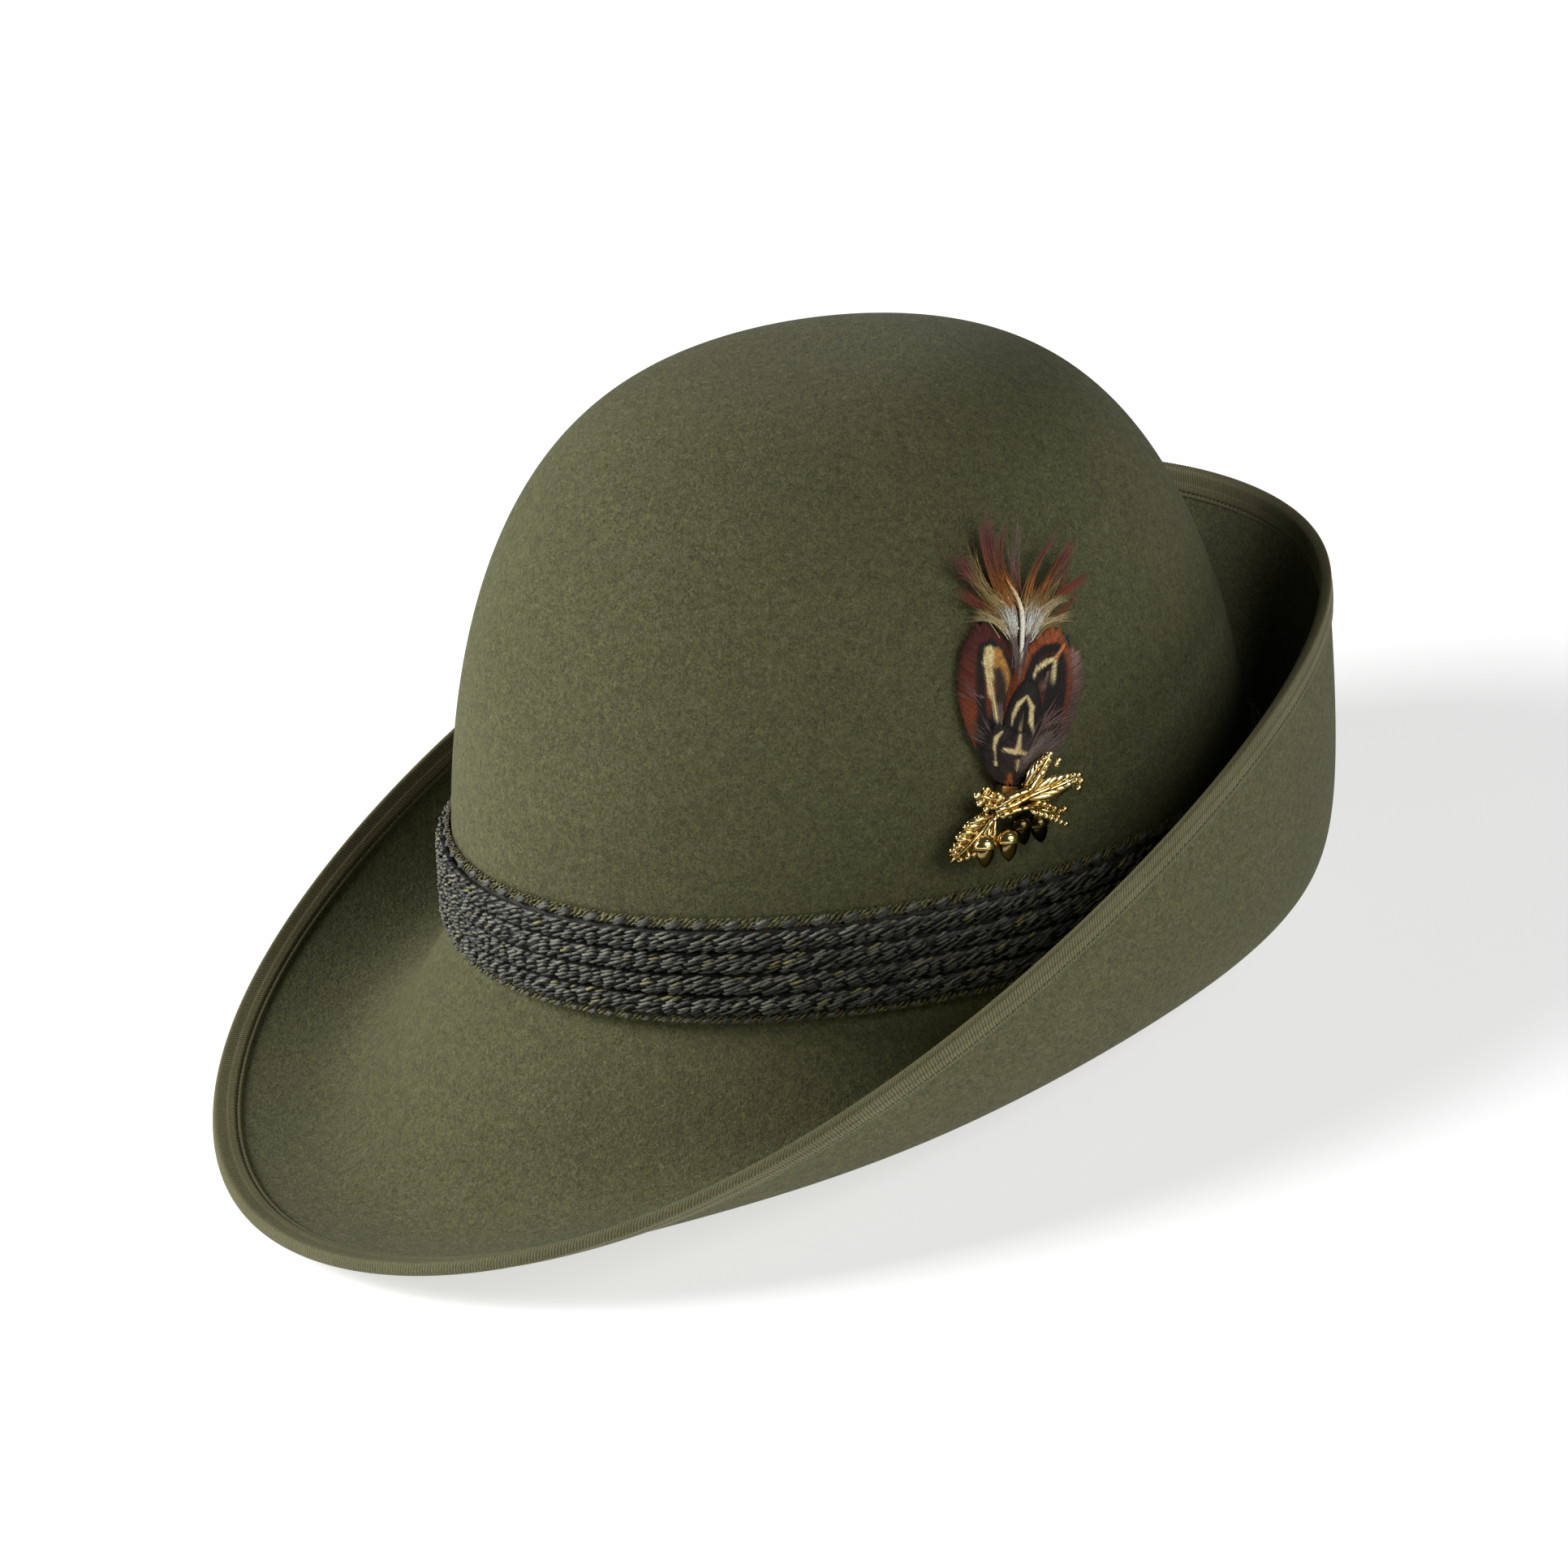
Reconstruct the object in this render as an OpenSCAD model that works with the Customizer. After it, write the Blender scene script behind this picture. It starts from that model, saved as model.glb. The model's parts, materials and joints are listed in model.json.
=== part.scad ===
// Alpine felt hat: a round uncreased dome, a brim that dips in front and rolls up round the
// sides and back, a braided cord band, and a pheasant plume behind a cast oak-leaf pin.
// The front is -Y, the wearer's left is +X, +Z is up. Millimetres.

/* [Crown] */
// Outside half-length of the crown at the brim break
oval_half_length = 101.5; // [100:0.5:104]
// Outside half-width of the crown at the brim break
oval_half_width = 84; // [83:0.5:86]
// Height of the dome above the brim break
crown_height = 135; // [130:1:140]
// How upright the crown's wall is, 2 for an ellipse
wall_uprightness = 3.1; // [2.8:0.1:3.3]
// How full the dome's shoulder is, 2 for an ellipse
shoulder_fullness = 2.1; // [2:0.1:2.3]
// Thickness of the felt
felt = 2.2; // [2:0.1:2.4]

/* [Brim] */
// Half-width of the brim across the ears
brim_half_width = 121; // [119:1:123]
// How much wider than that the brim is at the back on each side
brim_back_flare = 21; // [18:1:24]
// How far the brim's corners are filled out
brim_corner_fill = 5; // [4:0.5:6]
// Half-length of the brim from front edge to back edge
brim_half_length = 143; // [141:1:145]
// How far the brim's middle lies in front of the crown's middle
brim_forward = 39; // [37:1:41]
// How much blunter the front edge is than the back edge
brim_front_blunt = 15; // [13:1:16]
// Mean height of the brim's edge above the brim break
edge_height = 11; // [9:1:13]
// Half the rise of the edge from front to back
edge_rise = 61; // [58:1:63]
// How steeply the edge climbs past the ears
edge_climb = 4; // [3:0.5:4.5]
// Downward slope of the brim where it leaves the crown, in degrees
break_slope = 50; // [46:1:53]
// Mean slope of the brim at its edge, in degrees
turn_up = 50; // [47:1:53]
// How much steeper than that the edge is at the back
turn_up_back = 48; // [44:1:50]
// How late the turn-up starts from front to back
turn_up_delay = 10; // [8:1:12]
// Angle that the crown leans back by when the hat stands on a table
rest_lean = 8.7; // [8.5:0.1:8.9]

/* [Trim] */
// Width of the binding on each face of the brim
binding_width = 6.5; // [6:0.5:7]
// Thickness of the binding ribbon
binding = 0.6; // [0.5:0.1:0.7]
// Height of one braided cord
cord_height = 5.3; // [5:0.1:5.4]
// How far the braided cords stand out from the crown
cord_depth = 3.2; // [2.8:0.1:3.4]
// Height of the sweatband
sweatband_height = 34; // [30:1:35]

/* [Ornament] */
// Angle round the crown where the pin goes through, from the front
pin_angle = 90; // [88:1:92]
// Height of the pin above the brim break
pin_height = 44; // [43:0.5:45]
// Lean of the plume towards the back, in degrees
plume_lean = 16; // [14:1:18]
// Radius of the pin's post
post_r = 0.55; // [0.5:0.05:0.6]
// Width of the badge's big oak leaf
oak_leaf_width = 9; // [8:0.5:10]

/* [Hidden] */

ring_steps = 64;
angles = [for (i = [0:ring_steps - 1]) i * 360 / ring_steps];
felt_green = "#5c5d40";
binding_green = "#50503c";
cord_black = "#3a3a34";
gold = "#d9b45a";
brass = "#b59a4c";

// Gaps between neighbouring pieces
skin_gap = 0.15;
lining = 0.3;
lining_inset = felt + skin_gap;
sweat_inset = lining_inset + lining + 2 * skin_gap;
sweat = 1;
hole_clearance = 0.05;

// ---- Crown surface -------------------------------------------------------------------
// A point of the crown is given by the angle round it, a dome angle that is 0 at the brim
// break and 90 at the top, and how far it lies inside the felt's outer face.

function dome_scale(t) = pow(cos(t), 2 / wall_uprightness);
function dome_rise(t) = pow(sin(t), 2 / shoulder_fullness);
function dome_angle(z) = asin(pow(max(z, 0) / crown_height, shoulder_fullness / 2));

function crown_point(a, t, inset) = [
    (oval_half_width - inset) * sin(a) * dome_scale(t),
    -(oval_half_length - inset) * cos(a) * dome_scale(t),
    (crown_height - inset) * dome_rise(t)
];

// A point at height z on the crown's wall, out from the felt's outer face
function wall_point(a, z, out) = [
    (oval_half_width * dome_scale(dome_angle(z)) + out) * sin(a),
    -(oval_half_length * dome_scale(dome_angle(z)) + out) * cos(a),
    z
];

// ---- Brim surface --------------------------------------------------------------------
// Each section of the brim is one cubic curve from the break to the edge.

leave_handle = 0.51;
turn_handle = 0.58;

function brim_start(a) = [oval_half_width * sin(a), -oval_half_length * cos(a), 0];
function brim_edge(a) = [
    (brim_half_width - brim_back_flare * cos(a) - brim_corner_fill * cos(2 * a)) * sin(a),
    -brim_forward - brim_half_length * cos(a) + brim_front_blunt * cos(2 * a) + cos(3 * a),
    edge_height - edge_rise * cos(a) + 2 * cos(2 * a) + edge_climb * cos(3 * a) - cos(4 * a)
];
function brim_leave(a) = -break_slope + 2 * cos(a);
function brim_turn(a) = turn_up - turn_up_back * cos(a) + cos(2 * a) + turn_up_delay * cos(3 * a);

function flat_unit(v) = [v.x, v.y, 0] / norm([v.x, v.y]);
function sloped(h, angle) = h * cos(angle) + [0, 0, sin(angle)];
function brim_span(a) = norm(brim_edge(a) - brim_start(a));
function brim_way(a) = flat_unit(brim_edge(a) - brim_start(a));

function section(a) = [
    brim_start(a),
    brim_start(a) + leave_handle * brim_span(a) * sloped(brim_way(a), brim_leave(a)),
    brim_edge(a) - turn_handle * brim_span(a) * sloped(brim_way(a), brim_turn(a)),
    brim_edge(a)
];
function cubic(c, t) = pow(1 - t, 3) * c[0] + 3 * pow(1 - t, 2) * t * c[1]
    + 3 * (1 - t) * t * t * c[2] + pow(t, 3) * c[3];
function cubic_slope(c, t) = pow(1 - t, 2) * (c[1] - c[0]) + 2 * (1 - t) * t * (c[2] - c[1])
    + t * t * (c[3] - c[2]);
function upright(h, d) = let (n = d.z * -h + [0, 0, d * h]) n / norm(n);

// A point of the brim at curve parameter t, up from its upper face
function brim_point(a, t, up) = let (c = section(a))
    cubic(c, t) + up * upright(brim_way(a), cubic_slope(c, t));

// The same, by the distance in from the edge; a negative distance goes past the edge
function hem_t(a, s) = 1 - s / (3 * turn_handle * brim_span(a));
function hem_point(a, s, up) = brim_point(a, hem_t(a, max(s, 0)), up)
    + max(-s, 0) * sloped(brim_way(a), brim_turn(a));

// ---- Solids from rings ---------------------------------------------------------------

function quad(a, b, c, d) = [[a, b, c], [a, c, d]];

// A closed tube: rows[i][j] is point j of the cross-section at angle i
module closed_ring(rows) {
    n = len(rows);
    m = len(rows[0]);
    points = [for (r = rows) for (p = r) p];
    faces = [for (i = [0:n - 1]) for (j = [0:m - 1]) each
        quad(i * m + j, i * m + (j + 1) % m,
             ((i + 1) % n) * m + (j + 1) % m, ((i + 1) % n) * m + j)];
    polyhedron(points, faces);
}

// A skin from one pole to another: rings[i][j] is point j of ring i
module capped_skin(first, rings, last) {
    n = len(rings);
    m = len(rings[0]);
    points = concat([first], [for (r = rings) for (p = r) p], [last]);
    faces = concat(
        [for (j = [0:m - 1]) [0, 1 + (j + 1) % m, 1 + j]],
        [for (i = [0:n - 2]) for (j = [0:m - 1]) each
            quad(1 + i * m + j, 1 + i * m + (j + 1) % m,
                 1 + (i + 1) * m + (j + 1) % m, 1 + (i + 1) * m + j)],
        [for (j = [0:m - 1]) [1 + n * m, 1 + (n - 1) * m + j, 1 + (n - 1) * m + (j + 1) % m]]);
    polyhedron(points, faces);
}

// A cord round the crown with an elliptical section of the given sides
module crown_cord(z, out, height, depth, sides) {
    closed_ring([for (a = angles) [for (k = [0:sides - 1])
        wall_point(a, z + height / 2 * sin(k * 360 / sides),
                   out + depth / 2 * cos(k * 360 / sides))]]);
}

// ---- How the hat stands --------------------------------------------------------------
// It rests on the front of the brim and on the roll behind the crown.

underside = felt + skin_gap + binding;
function leaned_z(p) = p.z * cos(rest_lean) - p.y * sin(rest_lean);
function leaned_y(p) = p.y * cos(rest_lean) + p.z * sin(rest_lean);
under_points = [for (a = angles) for (t = [0.1:0.1:0.9]) brim_point(a, t, -felt)];
hem_points = [for (a = angles) each [
    hem_point(a, -skin_gap - binding, 0), hem_point(a, -skin_gap - binding, -felt),
    hem_point(a, 0, -underside), hem_point(a, binding_width, -underside)]];
rest_z = -min([for (p = concat(under_points, hem_points)) leaned_z(p)]);
outline_y = [for (p = concat(under_points, hem_points)) leaned_y(p)];
rest_y = -(min(outline_y) + max(outline_y)) / 2;

module standing() {
    translate([0, rest_y, rest_z]) rotate([-rest_lean, 0, 0]) children();
}

// ---- Felt body -----------------------------------------------------------------------

dome_rows = [for (t = [82.5:-7.5:0]) t];
inner_brim_rows = 8;
hem_rows = [binding_width, binding_width / 2, 0];

function brim_ring(k, up) = [for (a = angles)
    brim_point(a, hem_t(a, binding_width) * k / inner_brim_rows, up)];
function hem_ring(s, up) = [for (a = angles) hem_point(a, s, up)];

module felt_body() {
    outer = concat(
        [for (t = dome_rows) [for (a = angles) crown_point(a, t, 0)]],
        [for (k = [1:inner_brim_rows]) brim_ring(k, 0)],
        [for (i = [1:2]) hem_ring(hem_rows[i], 0)]);
    inner = concat(
        [for (i = [2:-1:1]) hem_ring(hem_rows[i], -felt)],
        [for (k = [inner_brim_rows:-1:0]) brim_ring(k, -felt)],
        [for (i = [len(dome_rows) - 1:-1:0])
            [for (a = angles) crown_point(a, dome_rows[i], felt)]]);
    color(felt_green) standing() difference() {
        capped_skin([0, 0, crown_height], concat(outer, inner), [0, 0, crown_height - felt]);
        at_pin() post_hole();
    }
}

// ---- Binding -------------------------------------------------------------------------

module brim_binding() {
    near = skin_gap;
    far = skin_gap + binding;
    section_points = concat(
        [for (s = hem_rows) [s, far]],
        [[-far, 0], [-far, -felt]],
        [for (i = [2:-1:0]) [hem_rows[i], -felt - far]],
        [for (s = hem_rows) [s, -felt - near]],
        [[-near, -felt], [-near, 0]],
        [for (i = [2:-1:0]) [hem_rows[i], near]]);
    color(binding_green) standing()
        closed_ring([for (a = angles) [for (p = section_points) hem_point(a, p[0], p[1])]]);
}

stitch_inset = 5.2;
thread_r = 0.2;

module stitch_line(up) {
    closed_ring([for (a = angles) [for (k = [0:3])
        hem_point(a, stitch_inset + thread_r * cos(k * 90), up + thread_r * sin(k * 90))]]);
}

module binding_stitching() {
    lift = skin_gap + binding + thread_r + 0.1;
    color("#33332a") standing() {
        stitch_line(lift);
        stitch_line(-felt - lift);
    }
}

// ---- Band ----------------------------------------------------------------------------

band_bottom = 2;
edging_height = 2.2;
backing = 0.5;
cord_out = backing + 2 * skin_gap + cord_depth / 2;
cord_floor = band_bottom + edging_height;
band_top = cord_floor + 4 * cord_height;

module band_cord(i) {
    color(cord_black) standing()
        crown_cord(cord_floor + (i - 0.5) * cord_height, cord_out,
                   cord_height - 0.1, cord_depth, 6);
}

module band_top_edging() {
    color("#4a4a38") standing()
        crown_cord(band_top + edging_height / 2, backing + 2 * skin_gap + 0.8,
                   edging_height, 1.6, 6);
}

module band_bottom_edging() {
    color("#4a4a38") standing()
        crown_cord(band_bottom + edging_height / 2, backing + 2 * skin_gap + 0.8,
                   edging_height, 1.6, 6);
}

module band_backing() {
    heights = [band_bottom, (band_bottom + band_top) / 2, band_top];
    color("#2c2c27") standing()
        closed_ring([for (a = angles) concat(
            [for (z = heights) wall_point(a, z, skin_gap + backing)],
            [for (i = [2:-1:0]) wall_point(a, heights[i], skin_gap)])]);
}

// The tab that hides where the cords' ends meet, behind the crown
module band_keeper() {
    keeper_width = 14;
    keeper_face = oval_half_length + cord_out + cord_depth / 2 + 0.4;
    color(cord_black) standing()
        translate([-keeper_width / 2, keeper_face, cord_floor])
            cube([keeper_width, 1, 4 * cord_height]);
}

// ---- Inside --------------------------------------------------------------------------

sweat_top = sweatband_height - 2;

module sweatband() {
    heights = [-2, 15, sweat_top];
    color("#6b4a2f") standing()
        closed_ring([for (a = angles) concat(
            [for (z = heights) wall_point(a, z, -sweat_inset - sweat)],
            [for (i = [2:-1:0]) wall_point(a, heights[i], -sweat_inset)])]);
}

module sweatband_reed() {
    reed_r = 0.8;
    color("#4b3320") standing()
        crown_cord(-2.1 - reed_r, -sweat_inset - sweat / 2, 2 * reed_r, 2 * reed_r, 6);
}

module sweatband_stitching() {
    color("#c8b48a") standing()
        crown_cord(1, -sweat_inset - sweat - thread_r - 0.1, 2 * thread_r, 2 * thread_r, 4);
}

// A small flat ribbon bow at the back of the sweatband
module sweatband_bow() {
    bow_face = oval_half_length - sweat_inset - sweat - 1.4;
    color("#8a6a48") standing()
        translate([0, bow_face, 8]) rotate([90, 0, 0]) linear_extrude(0.8)
            polygon([[-10, 0], [-9, 2.2], [-5, 2.6], [-1.2, 1], [1.2, 1], [5, 2.6], [9, 2.2],
                     [10, 0], [9, -2.2], [5, -2.6], [1.2, -1], [-1.2, -1], [-5, -2.6], [-9, -2.2]]);
}

// Dome angles, on the felt's own rows so that the flats run parallel
lining_rows = [for (t = [7.5:7.5:52.5]) t];
tip_rows = [53, 60, 67.5, 75, 82.5];
lining_last = len(lining_rows) - 1;
tip_last = len(tip_rows) - 1;

module lining_side() {
    color("#7c6a3c") standing() difference() {
        closed_ring([for (a = angles) concat(
            [for (t = lining_rows) crown_point(a, t, lining_inset + lining)],
            [for (i = [lining_last:-1:0]) crown_point(a, lining_rows[i], lining_inset)])]);
        at_pin() post_hole();
    }
}

module lining_tip() {
    outer = [for (i = [tip_last:-1:0])
        [for (a = angles) crown_point(a, tip_rows[i], lining_inset)]];
    inner = [for (t = tip_rows) [for (a = angles) crown_point(a, t, lining_inset + lining)]];
    color("#86723f") standing()
        capped_skin([0, 0, crown_height - lining_inset], concat(outer, inner),
                    [0, 0, crown_height - lining_inset - lining]);
}

// ---- The pin's own frame ---------------------------------------------------------------
// Local x runs back along the crown, y up along it, z straight out of it.

pin_point = wall_point(pin_angle, pin_height, 0);
pin_ring = dome_scale(dome_angle(pin_height));
pin_slope = [
    wall_uprightness * pow(pin_ring, wall_uprightness - 2) * pin_point.x / pow(oval_half_width, 2),
    wall_uprightness * pow(pin_ring, wall_uprightness - 2) * pin_point.y / pow(oval_half_length, 2),
    shoulder_fullness * pow(pin_height / crown_height, shoulder_fullness - 1) / crown_height
];
pin_turn = atan2(pin_slope.y, pin_slope.x);
pin_tilt = atan2(pin_slope.z, norm([pin_slope.x, pin_slope.y]));

module at_pin() {
    translate(pin_point) rotate([0, -pin_tilt, pin_turn]) rotate([90, 0, 90]) children();
}

module post_hole() {
    translate([0, 0, -8]) cylinder(r = post_r + hole_clearance, h = 16, $fn = 32);
}

// ---- Pin -------------------------------------------------------------------------------

badge_back = 4.2;
badge_plate = 1.1;
clutch_face = -lining_inset - lining - 0.9;
clutch_depth = 4.5;
post_tip = clutch_face - clutch_depth - 3;

// An oak leaf along +x: lobes swell and shrink along both sides
function leaf_side(length, width, side) = [for (i = [0:16]) let (u = i / 16)
    [length * u, side * width / 2 * sin(180 * pow(u, 0.8)) * (0.72 + 0.28 * cos(360 * 3.5 * u))]];
module oak_leaf(length, width) {
    back_side = leaf_side(length, width, -1);
    polygon(concat(leaf_side(length, width, 1), [for (i = [15:-1:1]) back_side[i]]));
}

module acorn(x, y, turn, size) {
    translate([x, y, badge_back + 1.6]) rotate([0, 0, turn]) rotate([0, 90, 0]) scale(size)
        rotate_extrude($fn = 24)
            polygon([[0, 0], [1.6, 0.2], [2.5, 1.2], [2.6, 2.4], [2.1, 2.9], [2, 4.2],
                     [1.4, 5.8], [0.5, 6.8], [0, 7.1]]);
}

module oak_leaf_badge() {
    color(gold) standing() at_pin() union() {
        translate([0, 0, badge_back]) linear_extrude(badge_plate) union() {
            translate([0, 2]) rotate(-153) oak_leaf(19.5, oak_leaf_width);
            translate([0, 1]) rotate(6) oak_leaf(18.5, 6.5);
            translate([0, 1]) rotate(36) oak_leaf(17, 6);
            translate([1, 0]) rotate(-18) oak_leaf(13, 6);
            translate([0, 1]) rotate(140) oak_leaf(10.5, 5);
            circle(r = 4, $fn = 32);
        }
        acorn(-8.5, -2.4, -98, 1);
        acorn(-2.4, -3, -96, 0.95);
        acorn(2, -0.1, -88, 1.1);
        acorn(6.3, -0.8, -87, 1.1);
    }
}

module badge_post() {
    color(brass) standing() at_pin()
        translate([0, 0, post_tip]) {
            translate([0, 0, 1]) cylinder(r = post_r, h = badge_back - post_tip - 1, $fn = 32);
            cylinder(r1 = 0.2, r2 = post_r, h = 1, $fn = 32);
        }
}

module feather_socket() {
    color(brass) standing() at_pin() rotate([0, 0, -plume_lean])
        translate([0, 2.5, 2.35]) rotate([-90, 0, 0]) difference() {
            translate([-2.7, -1.75, 0]) cube([5.4, 3.5, 4.3]);
            translate([-2.4, -1.5, -1]) cube([4.8, 3, 7]);
        }
}

module clutch_cap() {
    bore = post_r + hole_clearance;
    color(gold) standing() at_pin()
        translate([0, 0, clutch_face - clutch_depth]) rotate_extrude($fn = 48)
            polygon([[bore, 0], [2.4, 0], [3.2, 0.6], [3.6, 2.6], [5.2, 3.2], [5.2, clutch_depth],
                     [4.4, clutch_depth], [4.4, 3.7], [bore, 3.7]]);
}

// The spring plate that grips the post, with two wings that are squeezed to free it
module clutch_spring() {
    plate = 0.5;
    color(brass) standing() at_pin()
        translate([0, 0, clutch_face - clutch_depth - plate - 0.05]) difference() {
            union() {
                cylinder(r = 3, h = plate, $fn = 48);
                translate([-7.4, -1.6, 0]) cube([14.8, 3.2, plate]);
            }
            translate([0, 0, -1]) cylinder(r = post_r + hole_clearance, h = plate + 2, $fn = 32);
        }
}

// ---- Feathers --------------------------------------------------------------------------
// Each is a thin curved blade from the socket, bent along the dome.

plume_bend = 230;
feather_thickness = 0.18;
feather_steps = 8;

function blade_width(u, width) = 0.35 + width / 2 * pow(sin(180 * pow(u, 1.3)), 0.7);
function blade_point(x, y, lift) = [x, y, lift - (x * x + y * y) / (2 * plume_bend)];

// root: where it leaves the socket; turn: lean from straight up; layer: height off the crown
module feather(root, turn, length, width, layer) {
    rows = [for (i = [0:feather_steps]) let (
        u = i / feather_steps,
        half = i == feather_steps ? 0.3 : blade_width(u, width),
        along = root + [sin(turn), cos(turn)] * length * u,
        across = [cos(turn), -sin(turn)])
        [for (k = [-1, 0, 1]) let (p = along + k * half * across)
            blade_point(p.x, p.y, layer)]];
    low = [for (r = rows) for (p = r) p];
    high = [for (p = low) p + [0, 0, feather_thickness]];
    n = len(low);
    last = feather_steps * 3;
    faces = concat(
        [for (i = [0:feather_steps - 1]) for (k = [0, 1]) each
            quad(i * 3 + k, i * 3 + k + 1, i * 3 + k + 4, i * 3 + k + 3)],
        [for (i = [0:feather_steps - 1]) for (k = [0, 1]) each
            quad(n + i * 3 + k, n + i * 3 + k + 3, n + i * 3 + k + 4, n + i * 3 + k + 1)],
        [for (i = [0:feather_steps - 1]) each
            quad(i * 3, i * 3 + 3, n + i * 3 + 3, n + i * 3)],
        [for (i = [0:feather_steps - 1]) each
            quad(i * 3 + 2, n + i * 3 + 2, n + i * 3 + 5, i * 3 + 5)],
        [for (k = [0, 1]) each quad(k, n + k, n + k + 1, k + 1)],
        [for (k = [0, 1]) each quad(last + k, last + k + 1, n + last + k + 1, n + last + k)]);
    rotate([0, 0, -plume_lean]) polyhedron(concat(low, high), faces);
}

module feather_left() {
    color("#8a4a2a") standing() at_pin() feather([-0.9, 6], -14, 39, 16, 2.3);
}
module feather_right() {
    color("#9a5628") standing() at_pin() feather([0.9, 6], 11, 38.5, 14, 2.6);
}
module feather_center() {
    color("#2c2420") standing() at_pin() feather([0, 6], 3, 26, 12, 2.9);
}
module feather_base_left() {
    color("#4a3c30") standing() at_pin() feather([-0.8, 6], -14, 15, 9, 3.2);
}
module feather_base_right() {
    color("#54463a") standing() at_pin() feather([0.8, 6], 5, 12, 9, 3.45);
}
module feather_back() {
    color("#7a5f58") standing() at_pin() feather([1.2, 6], 21, 35, 12, 1.15);
}
module feather_teal() {
    color("#20343a") standing() at_pin() feather([0.4, 6], 19, 38.5, 12, 1.4);
}
module hackle_left() {
    color("#7c5a34") standing() at_pin() feather([-0.6, 6], -9, 62, 22, 1.65);
}
module hackle_right() {
    color("#7c5a34") standing() at_pin() feather([0.6, 6], 10, 59, 20, 1.9);
}

felt_body();
brim_binding();
binding_stitching();
band_cord(1);  // band_cord_1
band_cord(2);  // band_cord_2
band_cord(3);  // band_cord_3
band_cord(4);  // band_cord_4
band_top_edging();
band_bottom_edging();
band_backing();
band_keeper();
sweatband();
sweatband_reed();
sweatband_stitching();
sweatband_bow();
lining_side();
lining_tip();
oak_leaf_badge();
badge_post();
feather_socket();
clutch_cap();
clutch_spring();
feather_left();
feather_right();
feather_center();
feather_base_left();
feather_base_right();
feather_back();
feather_teal();
hackle_left();
hackle_right();
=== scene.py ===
import json
import bpy
import numpy as np
from mathutils import Matrix


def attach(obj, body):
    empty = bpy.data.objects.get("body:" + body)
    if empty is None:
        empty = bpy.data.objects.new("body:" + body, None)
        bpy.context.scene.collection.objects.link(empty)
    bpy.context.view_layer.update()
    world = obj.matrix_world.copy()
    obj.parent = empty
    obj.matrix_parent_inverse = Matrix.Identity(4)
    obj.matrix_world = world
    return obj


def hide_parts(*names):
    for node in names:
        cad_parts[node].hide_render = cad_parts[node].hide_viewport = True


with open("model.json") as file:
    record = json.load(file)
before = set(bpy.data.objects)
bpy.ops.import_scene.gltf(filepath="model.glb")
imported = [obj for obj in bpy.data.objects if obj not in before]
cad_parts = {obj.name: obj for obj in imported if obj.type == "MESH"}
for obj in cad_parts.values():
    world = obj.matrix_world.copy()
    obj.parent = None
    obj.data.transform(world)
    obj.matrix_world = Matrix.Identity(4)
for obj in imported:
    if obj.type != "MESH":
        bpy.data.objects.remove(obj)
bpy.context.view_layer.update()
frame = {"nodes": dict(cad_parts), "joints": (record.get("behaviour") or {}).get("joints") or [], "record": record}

MM = 0.001
TAU = 2 * np.pi

# ---- Driving dimensions, in millimetres and degrees ----

HALF_LENGTH, HALF_WIDTH, DOME = 101.5, 84.0, 135.0
UPRIGHT, FULLNESS = 3.1, 2.1
FELT = 2.2
FELT_BACK = 0.1 - FELT    # the smooth underside, held clear of the floor that the hat stands on
BRIM_HALF_WIDTH, BACK_FLARE, CORNER_FILL = 121.0, 21.0, 5.0
BRIM_HALF_LENGTH, BRIM_FORWARD, FRONT_BLUNT = 143.0, 39.0, 15.0
EDGE_HEIGHT, EDGE_RISE, EDGE_CLIMB = 11.0, 61.0, 4.0
BREAK_SLOPE, TURN_UP, TURN_UP_BACK, TURN_UP_DELAY = 50.0, 50.0, 48.0, 10.0
LEAVE_HANDLE, TURN_HANDLE = 0.51, 0.58
BINDING_WIDTH = 6.7
BAND_BOTTOM, EDGING, CORD_HEIGHT, CORD_DEPTH = 2.0, 2.2, 5.3, 3.2
BACKING_FACE = 0.65
CORD_FLOOR = BAND_BOTTOM + EDGING
SKIN_GAP = 0.15
CORD_OUT = BACKING_FACE + SKIN_GAP + CORD_DEPTH / 2
BAND_TOP = CORD_FLOOR + 4 * CORD_HEIGHT
LINING_INSET, SWEAT_INSET, SWEAT, SWEAT_TOP = 2.35, 2.95, 1.0, 32.0
PLUME_LEAN, PLUME_BEND = 16.0, 230.0
UP = np.array([0, 0, 1.0])

# ---- Places ----


def unit(v):
    return v / np.linalg.norm(v, axis=-1, keepdims=True)


mount = {m["name"]: m for m in frame["record"]["mounts"]}["head_opening"]
swivel = {j["name"]: j for j in frame["joints"]}["pin_swivel"]
hat_up = -unit(np.array(mount["axis"], float))
hat_axes = np.array([[1, 0, 0], np.cross(hat_up, [1, 0, 0]), hat_up])
pin_out = unit(np.array(swivel["axis"], float))
pin_back = unit(np.cross(hat_up, pin_out))
pin_axes = np.array([pin_back, np.cross(pin_out, pin_back), pin_out])


def in_hat(points):
    """Hat millimetres to row metres."""
    return np.array(mount["pos_m"]) + MM * points @ hat_axes


def at_pin(points):
    """Pin millimetres to row metres."""
    return np.array(swivel["pos_m"]) + MM * points @ pin_axes


def in_plume(points):
    """Plume millimetres, which lean with the feathers and bend with the dome, to row metres."""
    x, y, z = np.moveaxis(points, -1, 0)
    lean = np.radians(-PLUME_LEAN)
    bent = z - (x * x + y * y) / (2 * PLUME_BEND)
    turned = [x * np.cos(lean) - y * np.sin(lean), x * np.sin(lean) + y * np.cos(lean), bent]
    return at_pin(np.stack(turned, -1))


# ---- The hat's surfaces ----


def xyz(x, y, z):
    return np.stack(np.broadcast_arrays(x, y, z), -1)


def dome_scale(t):
    return np.cos(t) ** (2 / UPRIGHT)


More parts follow.
